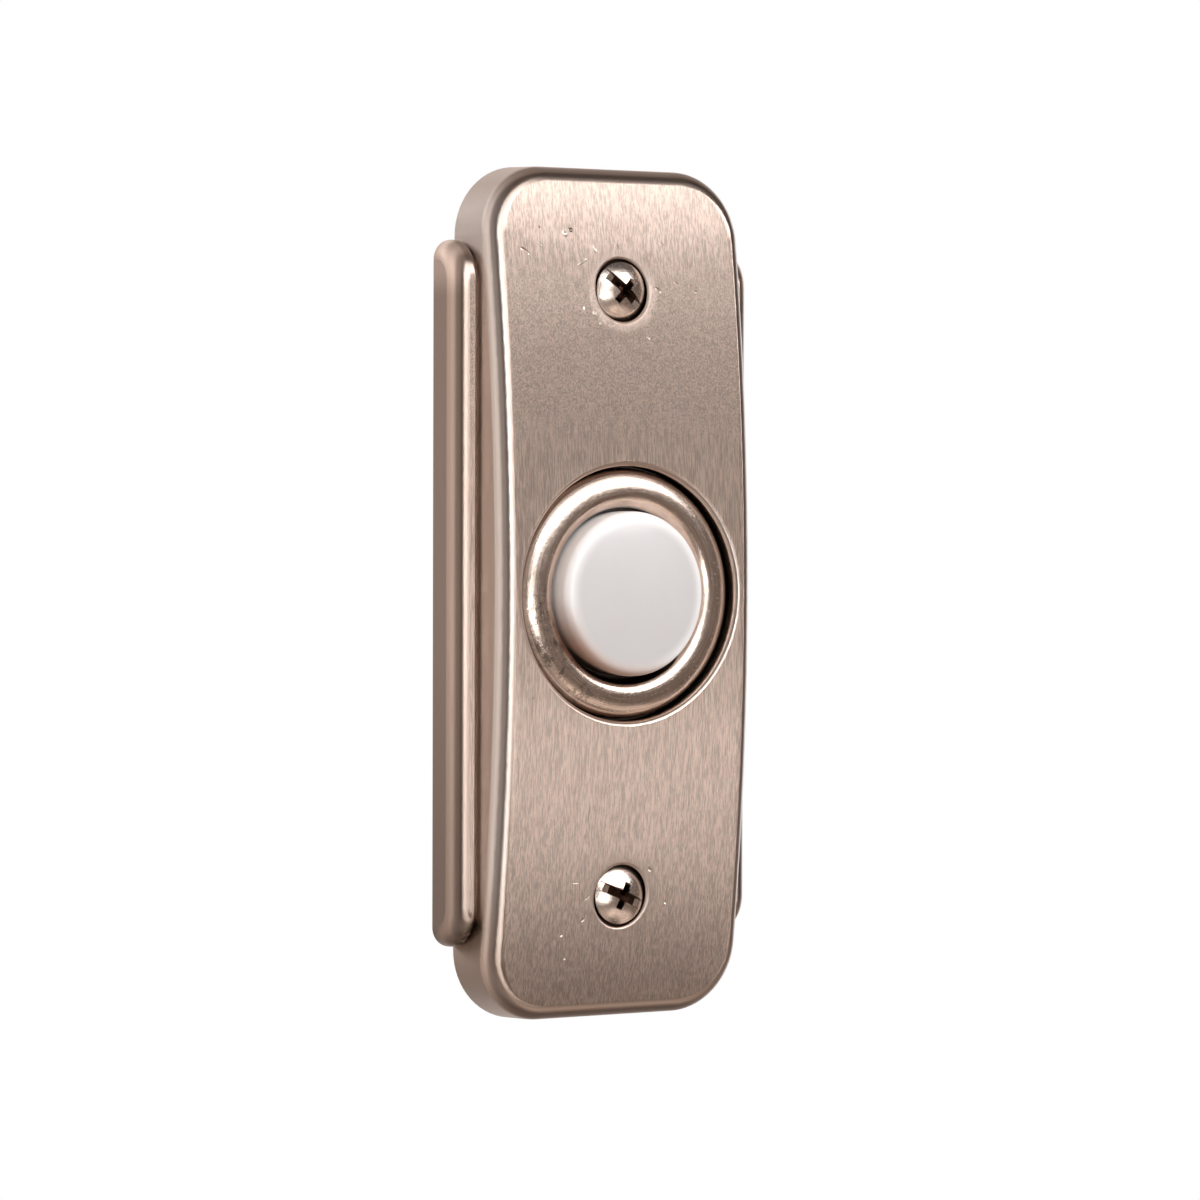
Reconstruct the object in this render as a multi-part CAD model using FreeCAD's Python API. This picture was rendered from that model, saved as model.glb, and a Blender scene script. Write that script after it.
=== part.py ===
import FreeCAD, Part
import math
import os

# Surface-mounted doorbell push button: a bowed cast cover with a stepped wing down each side,
# a rounded metal ring, a domed translucent button, and the switch unit behind them.
# Millimetres. X is across the plate, Y runs into the wall and Z is up. The wall is the plane Y = 0,
# the origin is on it midway between the two mounting screws, and the front faces -Y.

# Button
button_radius = 9.45
button_proud = 0.9
button_dome = 1.3
button_edge_radius = 1.1
button_wall = 1.3
button_roof = 1.5
button_flange_width = 1.25
button_flange = 0.9
button_travel = 1.5
button_key_length = 0.6
button_key_clearance = 0.3
spring_guide_wall = 0.7
spring_guide_height = 1.2

# Ring with its threaded barrel
ring_button_gap = 0.35
ring_inner_slope = 1.85
ring_outer_slope = 2.75
ring_bead_height = 1.9
ring_drop = 0.4
ring_flange = 0.6
barrel_flange_gap = 0.3
barrel_wall = 1.0
barrel_seat_clearance = 0.3
barrel_spare = 0.2
key_slot_width = 2.3
key_slot_depth = 0.5

# Nut and washer that clamp the ring to the cover
washer_thickness = 0.4
washer_width = 1.2
washer_tooth_count = 16
washer_tooth_gap = 1.3
washer_tooth_length = 0.6
nut_thickness = 1.6
nut_width = 1.4
nut_slot_count = 4
nut_slot_width = 2.2
nut_slot_depth = 0.9
thread_clearance = 0.05

# Moving contact ring and the two fixed contacts
ring_contact_thickness = 0.3
ring_contact_margin = 0.3
ring_contact_wall_gap = 0.1
contact_gap_spare = 0.05
stake_radius = 0.4
stake_height = 0.25
blade_width = 3.4
blade_thickness = 0.35
blade_spring_gap = 0.3
blade_rim_gap = 0.4
blade_finger = 1.6
blade_slot_clearance = 0.1
strip_width = 6.0
strip_thickness = 0.5
strip_overhang = 3.3

# Moulded base of the switch
base_thickness = 1.3
base_overlap = 1.0
base_rim_clearance = 0.1
base_rim_wall = 1.0
base_rim_drop = 0.15
ear_radius = 5.5
boss_radius = 3.0
boss_height = 3.0
boss_clearance = 0.35

# Terminals
terminal_head_radius = 2.6
terminal_head_height = 1.4
terminal_head_side = 0.8
terminal_head_bevel = 0.65
terminal_slot_width = 0.8
terminal_slot_depth = 0.7
terminal_shank_radius = 1.25
terminal_shank_length = 4.2
terminal_hole_clearance = 0.1
eyelet_flange_radius = 1.0
eyelet_flange = 0.25
eyelet_shank_radius = 0.65
eyelet_bore = 0.35
wire_room = 0.86

# Return spring
spring_mid_radius = 5.0
spring_wire_radius = 0.25
spring_turns = 5.0
spring_seat_gap = 0.02

# Lamp, its board and its two small parts
lamp_radius = 1.5
lamp_flange_radius = 1.9
lamp_flange = 0.8
lamp_height = 4.7
lamp_lead_spacing = 2.54
lamp_lead_size = 0.5
lamp_lead_proud = 0.7
lamp_hole_clearance = 0.1
board_gap = 1.55
board_thickness = 0.9
board_peg_margin = 1.8
board_peg_radius = 0.7
board_peg_proud = 0.3
board_hole_clearance = 0.05
chip_radius = 0.8
chip_length = 3.4
chip_spacing = 6.4
chip_offset = 3.2
chip_lead_radius = 0.25
chip_lead_reach = 1.0

# Cover casting
cover_height = 98.0
cover_side_land = 2.25
corner_radius = 8.2
side_draft = 0.035
crown_radius = 298.0
front_edge_radius = 2.1
side_wall = 1.8
front_wall = 1.8
pocket_gap = 0.25
pocket_lip_radius = 0.65
pocket_wall = 1.5
seat_thickness = 1.2

# Wings along the cover's two sides
wing_end_margin = 8.6
wing_depth = 5.15
wing_outer_radius = 2.3
wing_inner_radius = 0.45
wing_end_radius = 4.7
crevice_width = 0.05
crevice_depth = 0.9

# Mounting screws, near the middle between the ears and the cover's ends, and their posts
screw_inward_shift = 2.25
screw_head_radius = 3.3
screw_head_side = 0.75
screw_head_crown = 1.15
screw_head_drop = 0.4
screw_shank_radius = 1.75
screw_thread_radius = 1.5
screw_length = 25.4
screw_point_length = 4.0
screw_point_radius = 0.15
screw_head_clearance = 0.3
screw_shank_clearance = 0.35
post_wall = 1.5
counterbore_lip_radius = 0.35
driver_slot_width = 1.05
driver_slot_depth = 0.75
driver_cross_span = 3.75
driver_cross_width = 0.9
driver_cross_depth = 1.5
driver_cross_corner = 0.3
driver_foot_span = 1.2
driver_foot_width = 0.5
upper_slot_angle = -41.0
lower_slot_angle = -24.0

# Depths, worked out from the wall forwards
barrel_clamped = seat_thickness + washer_thickness + nut_thickness + barrel_spare
blade_room = blade_thickness + blade_spring_gap
button_room = (button_flange + ring_contact_thickness + button_travel + contact_gap_spare
               + blade_room)
barrel_length = max(barrel_clamped, button_room)
strip_back_y = -wire_room - terminal_head_height
base_back_y = strip_back_y - strip_thickness
board_back_y = base_back_y + board_thickness
base_front_y = base_back_y - base_thickness
blade_front_y = base_front_y - blade_room
seat_y = base_front_y - barrel_length
seat_back_y = seat_y + seat_thickness
washer_back_y = seat_back_y + washer_thickness
nut_back_y = washer_back_y + nut_thickness
flange_back_y = seat_y + button_flange
ring_contact_back_y = flange_back_y + ring_contact_thickness
bead_y = seat_y - ring_flange
face_y = bead_y - ring_bead_height - ring_drop
crown_axis_y = face_y + crown_radius
button_edge_y = face_y - button_proud
button_roof_y = button_edge_y - button_dome + button_roof

# Radii, worked out from the button outwards
button_bore = button_radius - button_wall
button_flange_radius = button_radius + button_flange_width
ring_contact_radius = button_flange_radius - ring_contact_margin
ring_contact_bore = button_bore + ring_contact_wall_gap
stake_x = (ring_contact_radius + ring_contact_bore) / 2
ring_bore = button_radius + ring_button_gap
ring_crest_radius = ring_bore + ring_inner_slope
ring_radius = ring_crest_radius + ring_outer_slope
barrel_bore = button_flange_radius + barrel_flange_gap
barrel_radius = barrel_bore + barrel_wall
thread_bore = barrel_radius + thread_clearance
nut_radius = barrel_radius + nut_width
base_radius = barrel_radius + base_overlap
base_rim_radius = barrel_bore - base_rim_clearance
base_rim_bore = base_rim_radius - base_rim_wall
blade_outer = base_rim_bore - blade_rim_gap
blade_root = blade_outer - blade_thickness
board_radius = blade_root - board_gap
board_peg_x = board_radius - board_peg_margin
seat_hole_radius = barrel_radius + barrel_seat_clearance
pocket_radius = ring_radius + pocket_gap

# Places across and up the cover
half_width = pocket_radius + pocket_lip_radius + cover_side_land
half_height = cover_height / 2
wing_x = half_width + crevice_width + wing_inner_radius + wing_outer_radius
wing_half_height = half_height - wing_end_margin
terminal_z = pocket_radius + pocket_wall + boss_clearance + boss_radius
screw_z = (terminal_z + ear_radius + half_height) / 2 - screw_inward_shift
eyelet_z = (nut_radius + terminal_z - boss_radius) / 2
head_hole_radius = screw_head_radius + screw_head_clearance


def crown_y(z):
    """Depth of the bowed front at height z."""
    return crown_axis_y - math.sqrt(crown_radius ** 2 - z ** 2)


# Depth of the flat that a mounting screw's head bears on
screw_seat_y = crown_y(screw_z) + screw_head_drop + screw_head_side


def vec(x, y, z):
    return FreeCAD.Vector(x, y, z)


def box(x0, x1, y0, y1, z0, z1):
    return Part.makeBox(x1 - x0, y1 - y0, z1 - z0, vec(x0, y0, z0))


def round_bar(radius, y0, y1, x=0.0, z=0.0):
    """Cylinder along Y from y0 to y1."""
    return Part.makeCylinder(radius, y1 - y0, vec(x, y0, z), vec(0, 1, 0))


def tube(outer, inner, y0, y1, x=0.0, z=0.0):
    return round_bar(outer, y0, y1, x, z).cut(round_bar(inner, y0, y1, x, z))


def line(a, b):
    return Part.LineSegment(a, b).toShape()


def arc(a, mid, b):
    return Part.Arc(a, mid, b).toShape()


def quarter_ellipse(a, corner, b):
    """Curve from a to b, tangent at each end to the side of the corner that it starts from."""
    reach = 4 * (math.sqrt(2) - 1) / 3
    curve = Part.BezierCurve()
    curve.setPoles([a, a + (corner - a) * reach, b + (corner - b) * reach, b])
    return curve.toShape()


def turned(points):
    """Solid of revolution about Y from (radius, y) corners."""
    corners = [vec(r, y, 0) for r, y in points]
    profile = Part.Face(Part.makePolygon(corners + corners[:1]))
    return profile.revolve(vec(0, 0, 0), vec(0, 1, 0), 360)


def edges_on_circle(shape, radius, x, z, y_low, y_high):
    """Edges whose middle lies at this radius from the axis through (x, z), between two depths."""
    found = []
    for edge in shape.Edges:
        first, last = edge.ParameterRange
        mid = edge.valueAt((first + last) / 2)
        off = math.hypot(mid.x - x, mid.z - z) - radius
        if abs(off) < 0.01 and y_low < mid.y < y_high:
            found.append(edge)
    return found


def drafted_block(half_w, half_h, radius, y_front):
    """Rounded oblong from the wall to y_front, narrowing by side_draft on every side."""
    inset = -y_front * side_draft
    flat_x = half_w - radius
    flat_z = half_h - radius
    wide = Part.makeWedge(-half_w + inset, y_front, -flat_z, -flat_z, -half_w,
                          half_w - inset, 0, flat_z, flat_z, half_w)
    tall = Part.makeWedge(-flat_x, y_front, -half_h + inset, -half_h, -flat_x,
                          flat_x, 0, half_h - inset, half_h, flat_x)
    block = wide.fuse(tall)
    for sx in (-1, 1):
        for sz in (-1, 1):
            corner = vec(sx * flat_x, y_front, sz * flat_z)
            cone = Part.makeCone(radius - inset, radius, -y_front, corner, vec(0, 1, 0))
            block = block.fuse(cone)
    return block.removeSplitter()


def crowned_block(half_w, half_h, radius, crown):
    """Drafted block cut off by the bow of the given radius, about the shared bow axis."""
    block = drafted_block(half_w, half_h, radius, face_y - 1.0)
    bow = Part.makeCylinder(crown, 4 * half_w, vec(-2 * half_w, crown_axis_y, 0), vec(1, 0, 0))
    return block.common(bow)


def cover_outside():
    block = crowned_block(half_width, half_height, corner_radius, crown_radius)
    front = [f for f in block.Faces if f.BoundBox.YMax < crown_y(half_height) + 0.01][0]
    return block.makeFillet(front_edge_radius, front.Edges)


def wing_section(z, y_back):
    """Section of the wing's bead at height z, from y_back to its crest."""
    inner_x = half_width + crevice_width
    root_x = half_width - side_wall / 2
    shoulder_y = -wing_depth + wing_outer_radius
    lip_y = -wing_depth + wing_inner_radius
    crest_x = wing_x - wing_outer_radius
    s = math.sqrt(0.5)
    outer_mid = vec(crest_x + s * wing_outer_radius, shoulder_y - s * wing_outer_radius, z)
    inner_mid = vec(crest_x - s * wing_inner_radius, lip_y - s * wing_inner_radius, z)
    groove_y = -wing_depth + crevice_depth
    a = vec(root_x, y_back, z)
    b = vec(wing_x, y_back, z)
    c = vec(wing_x, shoulder_y, z)
    d = vec(crest_x, -wing_depth, z)
    e = vec(inner_x, lip_y, z)
    f = vec(inner_x, groove_y, z)
    g = vec(root_x, groove_y, z)
    edges = [line(a, b), line(b, c), arc(c, outer_mid, d), arc(d, inner_mid, e)]
    edges += [line(e, f), line(f, g), line(g, a)]
    return Part.Face(Part.Wire(edges))


def wing():
    """One wing: a bead along the side that curls over to the wall at both ends."""
    half_run = wing_half_height - wing_end_radius
    pivot_y = wing_end_radius - wing_depth
    bead = wing_section(-half_run, 0.0).extrude(vec(0, 0, 2 * half_run))
    for side in (-1, 1):
        end = wing_section(side * half_run, pivot_y)
        pivot = vec(0, pivot_y, side * half_run)
        bead = bead.fuse(end.revolve(pivot, vec(1, 0, 0), -90 * side))
        end.rotate(pivot, vec(1, 0, 0), -90 * side)
        bead = bead.fuse(end.extrude(vec(0, -pivot_y, 0)))
    return bead.removeSplitter()


def front_cover():
    outside = cover_outside()
    hollow = crowned_block(half_width - side_wall, half_height - side_wall,
                           corner_radius - side_wall, crown_radius - front_wall)
    right_wing = wing()
    left_wing = right_wing.mirror(vec(0, 0, 0), vec(1, 0, 0))
    cover = outside.fuse([right_wing, left_wing]).cut(hollow)
    posts = [round_bar(pocket_radius + pocket_wall, face_y, seat_back_y)]
    post_radius = head_hole_radius + post_wall
    for side in (-1, 1):
        posts.append(round_bar(post_radius, face_y, 0, 0, side * screw_z))
    inner = crowned_block(half_width - side_wall / 2, half_height - side_wall / 2,
                          corner_radius - side_wall / 2, crown_radius - front_wall / 2)
    for post in posts:
        cover = cover.fuse(post.common(inner))
    cover = cover.cut(round_bar(pocket_radius, face_y - 1, seat_y))
    cover = cover.cut(round_bar(seat_hole_radius, seat_y - 1, 0))
    shank_hole = screw_shank_radius + screw_shank_clearance
    for side in (-1, 1):
        cover = cover.cut(round_bar(head_hole_radius, face_y - 1, screw_seat_y, 0, side * screw_z))
        cover = cover.cut(round_bar(shank_hole, face_y, 1, 0, side * screw_z))
    cover = cover.removeSplitter()
    cover = cover.makeFillet(pocket_lip_radius, edges_on_circle(
        cover, pocket_radius, 0, 0, face_y - 0.1, seat_y - 1.2))
    for side in (-1, 1):
        cover = cover.makeFillet(counterbore_lip_radius, edges_on_circle(
            cover, head_hole_radius, 0, side * screw_z, face_y - 0.1, screw_seat_y - 0.5))
    return cover


def trim_ring():
    """Bead with a steep inner and a flatter outer slope, its shoulder and barrel, in one piece."""
    crest_y = bead_y - ring_bead_height
    crest = vec(ring_crest_radius, crest_y, 0)
    a = vec(ring_bore, bead_y, 0)
    b = vec(ring_radius, bead_y, 0)
    c = vec(ring_radius, seat_y, 0)
    d = vec(barrel_radius, seat_y, 0)
    e = vec(barrel_radius, base_front_y, 0)
    f = vec(barrel_bore, base_front_y, 0)
    g = vec(barrel_bore, seat_y, 0)
    h = vec(ring_bore, seat_y, 0)
    edges = [quarter_ellipse(a, vec(ring_bore, crest_y, 0), crest),
             quarter_ellipse(crest, vec(ring_radius, crest_y, 0), b)]
    edges += [line(b, c), line(c, d), line(d, e), line(e, f), line(f, g), line(g, h), line(h, a)]
    ring = Part.Face(Part.Wire(edges)).revolve(vec(0, 0, 0), vec(0, 1, 0), 360)
    reach = barrel_bore + key_slot_depth
    slot = box(-reach, reach, seat_y, base_front_y, -key_slot_width / 2, key_slot_width / 2)
    return ring.cut(slot.common(round_bar(reach, seat_y, base_front_y)))


def lock_washer():
    """Toothed washer: a thin ring with gaps cut between its inner teeth."""
    washer = tube(barrel_radius + washer_width, thread_bore, seat_back_y, washer_back_y)
    gap = box(thread_bore - 1, thread_bore + washer_tooth_length, seat_back_y, washer_back_y,
              -washer_tooth_gap / 2, washer_tooth_gap / 2)
    for i in range(washer_tooth_count):
        turn = gap.copy()
        turn.rotate(vec(0, 0, 0), vec(0, 1, 0), 360.0 * i / washer_tooth_count)
        washer = washer.cut(turn)
    return washer


def retaining_nut():
    """Thin round nut with spanner slots in its rim."""
    nut = tube(nut_radius, thread_bore, washer_back_y, nut_back_y)
    slot = box(nut_radius - nut_slot_depth, nut_radius + 1, washer_back_y, nut_back_y,
               -nut_slot_width / 2, nut_slot_width / 2)
    for i in range(nut_slot_count):
        turn = slot.copy()
        turn.rotate(vec(0, 0, 0), vec(0, 1, 0), 360.0 * (i + 0.5) / nut_slot_count)
        nut = nut.cut(turn)
    return nut


def button_cap():
    """Domed hollow cap with a flange that the ring holds back, two keys and two stakes."""
    apex_y = button_edge_y - button_dome
    dome_radius = (button_radius ** 2 + button_dome ** 2) / (2 * button_dome)
    bulb = Part.makeSphere(dome_radius, vec(0, apex_y + dome_radius, 0))
    cap = round_bar(button_radius, apex_y, flange_back_y).common(bulb)
    cap = cap.makeFillet(button_edge_radius, edges_on_circle(
        cap, button_radius, 0, 0, apex_y, button_edge_y + 0.5))
    cap = cap.fuse(round_bar(button_flange_radius, seat_y, flange_back_y))
    key_reach = barrel_bore + key_slot_depth - button_key_clearance
    key_half = key_slot_width / 2 - button_key_clearance
    key = box(-key_reach, key_reach, seat_y, seat_y + button_key_length, -key_half, key_half)
    cap = cap.fuse(key.common(round_bar(key_reach, seat_y, flange_back_y)))
    cap = cap.cut(round_bar(button_bore, button_roof_y, flange_back_y))
    guide_bore = spring_mid_radius + 2 * spring_wire_radius
    guide = tube(guide_bore + spring_guide_wall, guide_bore, button_roof_y - 0.2,
                 button_roof_y + spring_guide_height)
    cap = cap.fuse(guide)
    for side in (-1, 1):
        cap = cap.fuse(round_bar(stake_radius, flange_back_y - 0.2,
                                 ring_contact_back_y + stake_height, side * stake_x, 0))
    return cap.removeSplitter()


def moving_contact():
    """Flat brass ring staked to the back of the button's flange."""
    ring = tube(ring_contact_radius, ring_contact_bore, flange_back_y, ring_contact_back_y)
    for side in (-1, 1):
        ring = ring.cut(round_bar(stake_radius, flange_back_y, ring_contact_back_y,
                                  side * stake_x, 0))
    return ring


def return_spring():
    """Closed-coil helix between the base and the button's roof, with flat ground ends."""
    y0 = base_front_y - spring_wire_radius - spring_seat_gap
    y1 = button_roof_y + spring_wire_radius + spring_seat_gap
    height = y0 - y1
    helix = Part.makeHelix(height / spring_turns, height, spring_mid_radius)
    helix.rotate(vec(0, 0, 0), vec(1, 0, 0), -90)
    helix.translate(vec(0, y1, 0))
    start = helix.Edges[0].valueAt(helix.Edges[0].FirstParameter)
    tangent = helix.Edges[0].tangentAt(helix.Edges[0].FirstParameter)
    wire = Part.Wire([Part.makeCircle(spring_wire_radius, start, tangent)])
    return Part.Wire(helix.Edges).makePipeShell([wire], True, True)


def switch_base():
    """Moulded base: a disc with two ears, a centring rim, screw bosses and board pegs."""
    base = round_bar(base_radius, base_front_y, base_back_y)
    base = base.fuse(box(-ear_radius, ear_radius, base_front_y, base_back_y,
                         -terminal_z, terminal_z))
    for side in (-1, 1):
        base = base.fuse(round_bar(ear_radius, base_front_y, base_back_y, 0, side * terminal_z))
        base = base.fuse(round_bar(boss_radius, base_front_y - boss_height, base_back_y,
                                   0, side * terminal_z))
        base = base.fuse(round_bar(board_peg_radius, base_back_y - 0.2,
                                   board_back_y + board_peg_proud,
                                   side * board_peg_x, 0))
    base = base.fuse(tube(base_rim_radius, base_rim_bore, blade_front_y + base_rim_drop,
                          base_front_y + 0.2))
    for side in (-1, 1):
        hole = terminal_shank_radius + terminal_hole_clearance
        tip_y = strip_back_y - terminal_shank_length - terminal_hole_clearance
        base = base.cut(round_bar(hole, tip_y, base_back_y, 0, side * terminal_z))
        base = base.cut(round_bar(eyelet_shank_radius, base_front_y, base_back_y,
                                  0, side * eyelet_z))
        base = base.cut(blade_slot(side))
        base = base.cut(round_bar(lead_hole_radius(), base_front_y, base_back_y,
                                  side * lamp_lead_spacing / 2, 0))
    return base.removeSplitter()


def lead_hole_radius():
    return lamp_lead_size * math.sqrt(0.5) + lamp_hole_clearance


def blade_slot(side):
    """Opening in the base that a contact's blade is pushed through."""
    c = blade_slot_clearance
    z0 = side * (blade_root - c)
    z1 = side * (blade_outer + c)
    half = blade_width / 2 + c
    return box(-half, half, base_front_y, base_back_y, min(z0, z1), max(z0, z1))


def fixed_contact(side):
    """Brass strip: terminal plate behind the base, blade through it and finger in front."""
    def span(za, zb, half, y0, y1):
        return box(-half, half, y0, y1, min(side * za, side * zb), max(side * za, side * zb))
    strip = span(blade_root, terminal_z + strip_overhang, strip_width / 2,
                 base_back_y, strip_back_y)
    strip = strip.fuse(span(blade_root, blade_outer, blade_width / 2,
                            blade_front_y, strip_back_y))
    strip = strip.fuse(span(blade_outer - blade_finger, blade_outer, blade_width / 2,
                            blade_front_y, blade_front_y + blade_thickness))
    strip = strip.cut(round_bar(terminal_shank_radius, base_back_y, strip_back_y,
                                0, side * terminal_z))
    strip = strip.cut(round_bar(eyelet_shank_radius, base_back_y, strip_back_y,
                                0, side * eyelet_z))
    return strip.removeSplitter()


def terminal_screw(side):
    """Slotted pan-head screw that clamps a bell wire."""
    head = turned([(0, strip_back_y), (terminal_head_radius, strip_back_y),
                   (terminal_head_radius, strip_back_y + terminal_head_side),
                   (terminal_head_radius - terminal_head_bevel,
                    strip_back_y + terminal_head_height),
                   (0, strip_back_y + terminal_head_height)])
    shank = round_bar(terminal_shank_radius, strip_back_y - terminal_shank_length,
                      strip_back_y + 0.1)
    screw = head.fuse(shank)
    top = strip_back_y + terminal_head_height
    slot = box(-terminal_head_radius, terminal_head_radius, top - terminal_slot_depth, top,
               -terminal_slot_width / 2, terminal_slot_width / 2)
    screw = screw.cut(slot)
    screw.translate(vec(0, 0, side * terminal_z))
    return screw


def eyelet(side):
    """Hollow rivet that holds a contact strip to the base."""
    rivet = round_bar(eyelet_flange_radius, base_front_y - eyelet_flange, base_front_y)
    rivet = rivet.fuse(round_bar(eyelet_flange_radius, strip_back_y,
                                 strip_back_y + eyelet_flange))
    rivet = rivet.fuse(round_bar(eyelet_shank_radius, base_front_y, strip_back_y))
    rivet = rivet.cut(round_bar(eyelet_bore, base_front_y - eyelet_flange,
                                strip_back_y + eyelet_flange))
    rivet.translate(vec(0, 0, side * eyelet_z))
    return rivet


def lamp():
    """Small round-topped lamp on two leads."""
    dome_y = base_front_y - lamp_height + lamp_radius
    body = round_bar(lamp_flange_radius, base_front_y - lamp_flange, base_front_y)
    body = body.fuse(round_bar(lamp_radius, dome_y, base_front_y))
    body = body.fuse(Part.makeSphere(lamp_radius, vec(0, dome_y, 0)))
    half = lamp_lead_size / 2
    for side in (-1, 1):
        x = side * lamp_lead_spacing / 2
        body = body.fuse(box(x - half, x + half, base_front_y - 0.1,
                             board_back_y + lamp_lead_proud, -half, half))
    return body.removeSplitter()


def lamp_board():
    """Round board behind the base, on two pegs."""
    board = round_bar(board_radius, base_back_y, board_back_y)
    for side in (-1, 1):
        board = board.cut(round_bar(board_peg_radius + board_hole_clearance, base_back_y,
                                    board_back_y, side * board_peg_x, 0))
        board = board.cut(round_bar(lead_hole_radius(), base_back_y, board_back_y,
                                    side * lamp_lead_spacing / 2, 0))
    return board


def bent_lead(x, axis_y, z_from, z_to, y_to):
    """Wire along Z and then forward to y_to, round at its corner."""
    low, high = min(z_from, z_to), max(z_from, z_to)
    run = Part.makeCylinder(chip_lead_radius, high - low, vec(x, axis_y, low), vec(0, 0, 1))
    drop = round_bar(chip_lead_radius, y_to, axis_y, x, z_to)
    elbow = Part.makeSphere(chip_lead_radius, vec(x, axis_y, z_to))
    return run.fuse([drop, elbow])


def leaded_part(side):
    """Axial resistor or diode: one lead to the board and one to a contact strip."""
    x = side * chip_spacing / 2
    axis_y = board_back_y + chip_radius
    near = side * (chip_offset - chip_length / 2)
    far = side * (chip_offset + chip_length / 2)
    body = Part.makeCylinder(chip_radius, chip_length, vec(x, axis_y, min(near, far)),
                             vec(0, 0, 1))
    body = body.makeFillet(0.4 * chip_radius, [e for e in body.Edges if e.Closed])
    strip_lead = bent_lead(x, axis_y, far, side * (blade_outer + chip_lead_reach), strip_back_y)
    board_lead = bent_lead(x, axis_y, near, near - side * chip_lead_reach, board_back_y)
    return body.fuse([strip_lead, board_lead]).removeSplitter()


def cross_recess(top_y):
    """Cutter for a cross recess in a screw head whose crown lies at top_y."""
    foot_y = top_y + driver_cross_depth
    arm = driver_cross_span / 2
    half = driver_cross_width / 2
    foot = driver_foot_span / 2
    foot_half = driver_foot_width / 2
    blade = Part.makeWedge(-half, top_y, -arm, -foot, -foot_half,
                           half, foot_y, arm, foot, foot_half)
    other = blade.copy()
    other.rotate(vec(0, 0, 0), vec(0, 1, 0), 90)
    cross = blade.fuse(other).removeSplitter()
    corners = [edge for edge in cross.Edges if edge.Length > driver_cross_depth
               and all(abs(abs(end.X) - abs(end.Z)) < 0.01 for end in edge.Vertexes)]
    return cross.makeFillet(driver_cross_corner, corners)


def mounting_screw(side, slot_angle):
    """Pan-head wood screw with a straight slot across its cross recess."""
    side_y = screw_seat_y - screw_head_side
    point_y = screw_seat_y + screw_length - screw_point_length
    dome = (screw_head_radius ** 2 + screw_head_crown ** 2) / (2 * screw_head_crown)
    top_y = side_y - screw_head_crown
    head = round_bar(screw_head_radius, top_y, screw_seat_y)
    head = head.common(Part.makeSphere(dome, vec(0, top_y + dome, 0)))
    shank = round_bar(screw_shank_radius, screw_seat_y, 0)
    thread = round_bar(screw_thread_radius, 0, point_y)
    point = Part.makeCone(screw_thread_radius, screw_point_radius, screw_point_length,
                          vec(0, point_y, 0), vec(0, 1, 0))
    screw = head.fuse([shank, thread, point])
    half = driver_slot_width / 2
    slot = box(-2 * screw_head_radius, 2 * screw_head_radius, top_y - 1,
               top_y + driver_slot_depth, -half, half)
    screw = screw.cut(slot).cut(cross_recess(top_y))
    screw.rotate(vec(0, 0, 0), vec(0, 1, 0), -slot_angle)
    screw.translate(vec(0, 0, side * screw_z))
    return screw


def build():
    return {
        "front_cover": front_cover(),
        "trim_ring": trim_ring(),
        "lock_washer": lock_washer(),
        "retaining_nut": retaining_nut(),
        "button_cap": button_cap(),
        "moving_contact": moving_contact(),
        "return_spring": return_spring(),
        "switch_base": switch_base(),
        "contact_upper": fixed_contact(1),
        "contact_lower": fixed_contact(-1),
        "terminal_screw_upper": terminal_screw(1),
        "terminal_screw_lower": terminal_screw(-1),
        "eyelet_upper": eyelet(1),
        "eyelet_lower": eyelet(-1),
        "lamp": lamp(),
        "lamp_board": lamp_board(),
        "resistor": leaded_part(1),
        "diode": leaded_part(-1),
        "mounting_screw_upper": mounting_screw(1, upper_slot_angle),
        "mounting_screw_lower": mounting_screw(-1, lower_slot_angle),
    }


os.makedirs("parts", exist_ok=True)
for name, shape in build().items():
    solid = shape.Solids[0] if len(shape.Solids) == 1 else shape
    solid.exportStep("parts/" + name + ".step")
    print(name, "solids", len(shape.Solids), "valid", shape.isValid(),
          "volume", round(shape.Volume, 2), "faces", len(shape.Faces))
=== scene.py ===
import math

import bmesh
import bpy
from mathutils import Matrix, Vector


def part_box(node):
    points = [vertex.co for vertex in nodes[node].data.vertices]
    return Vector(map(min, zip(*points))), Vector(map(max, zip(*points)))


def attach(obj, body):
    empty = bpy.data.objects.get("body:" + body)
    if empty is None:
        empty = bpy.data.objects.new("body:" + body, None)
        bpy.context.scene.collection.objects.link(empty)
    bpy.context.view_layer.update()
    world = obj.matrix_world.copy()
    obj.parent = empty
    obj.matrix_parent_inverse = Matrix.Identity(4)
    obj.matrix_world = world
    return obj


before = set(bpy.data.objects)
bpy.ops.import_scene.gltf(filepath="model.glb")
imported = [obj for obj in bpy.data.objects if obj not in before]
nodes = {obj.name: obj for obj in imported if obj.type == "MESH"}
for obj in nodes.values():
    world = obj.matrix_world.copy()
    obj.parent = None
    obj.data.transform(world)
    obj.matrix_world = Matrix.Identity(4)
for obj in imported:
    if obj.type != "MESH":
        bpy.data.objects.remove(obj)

# %% [markdown]
# A doorbell push button, dressed for its picture.
# The imported model already holds every solid at its real size: the bowed cover, the ring, the button and the
# switch behind them. This lesson gives each of them a finish, adds the details that are too fine for the
# solids, and lights the whole as a small shiny product is lit.

MM = 0.001
scene = bpy.context.scene
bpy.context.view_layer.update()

# %% [markdown]
# The camera comes before anything else, because a shiny object is mostly a picture of what stands round it,
# and that can only be judged from the right place.
# A picture of a small product is usually taken from well back with a long lens, which keeps its sides nearly
# parallel. Here the camera stands 600 mm away, 33 degrees to the left of the button's own axis and a degree
# above it. The lens is worked out from how many pixels one radian covers, so that the sizes come out right.

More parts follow.
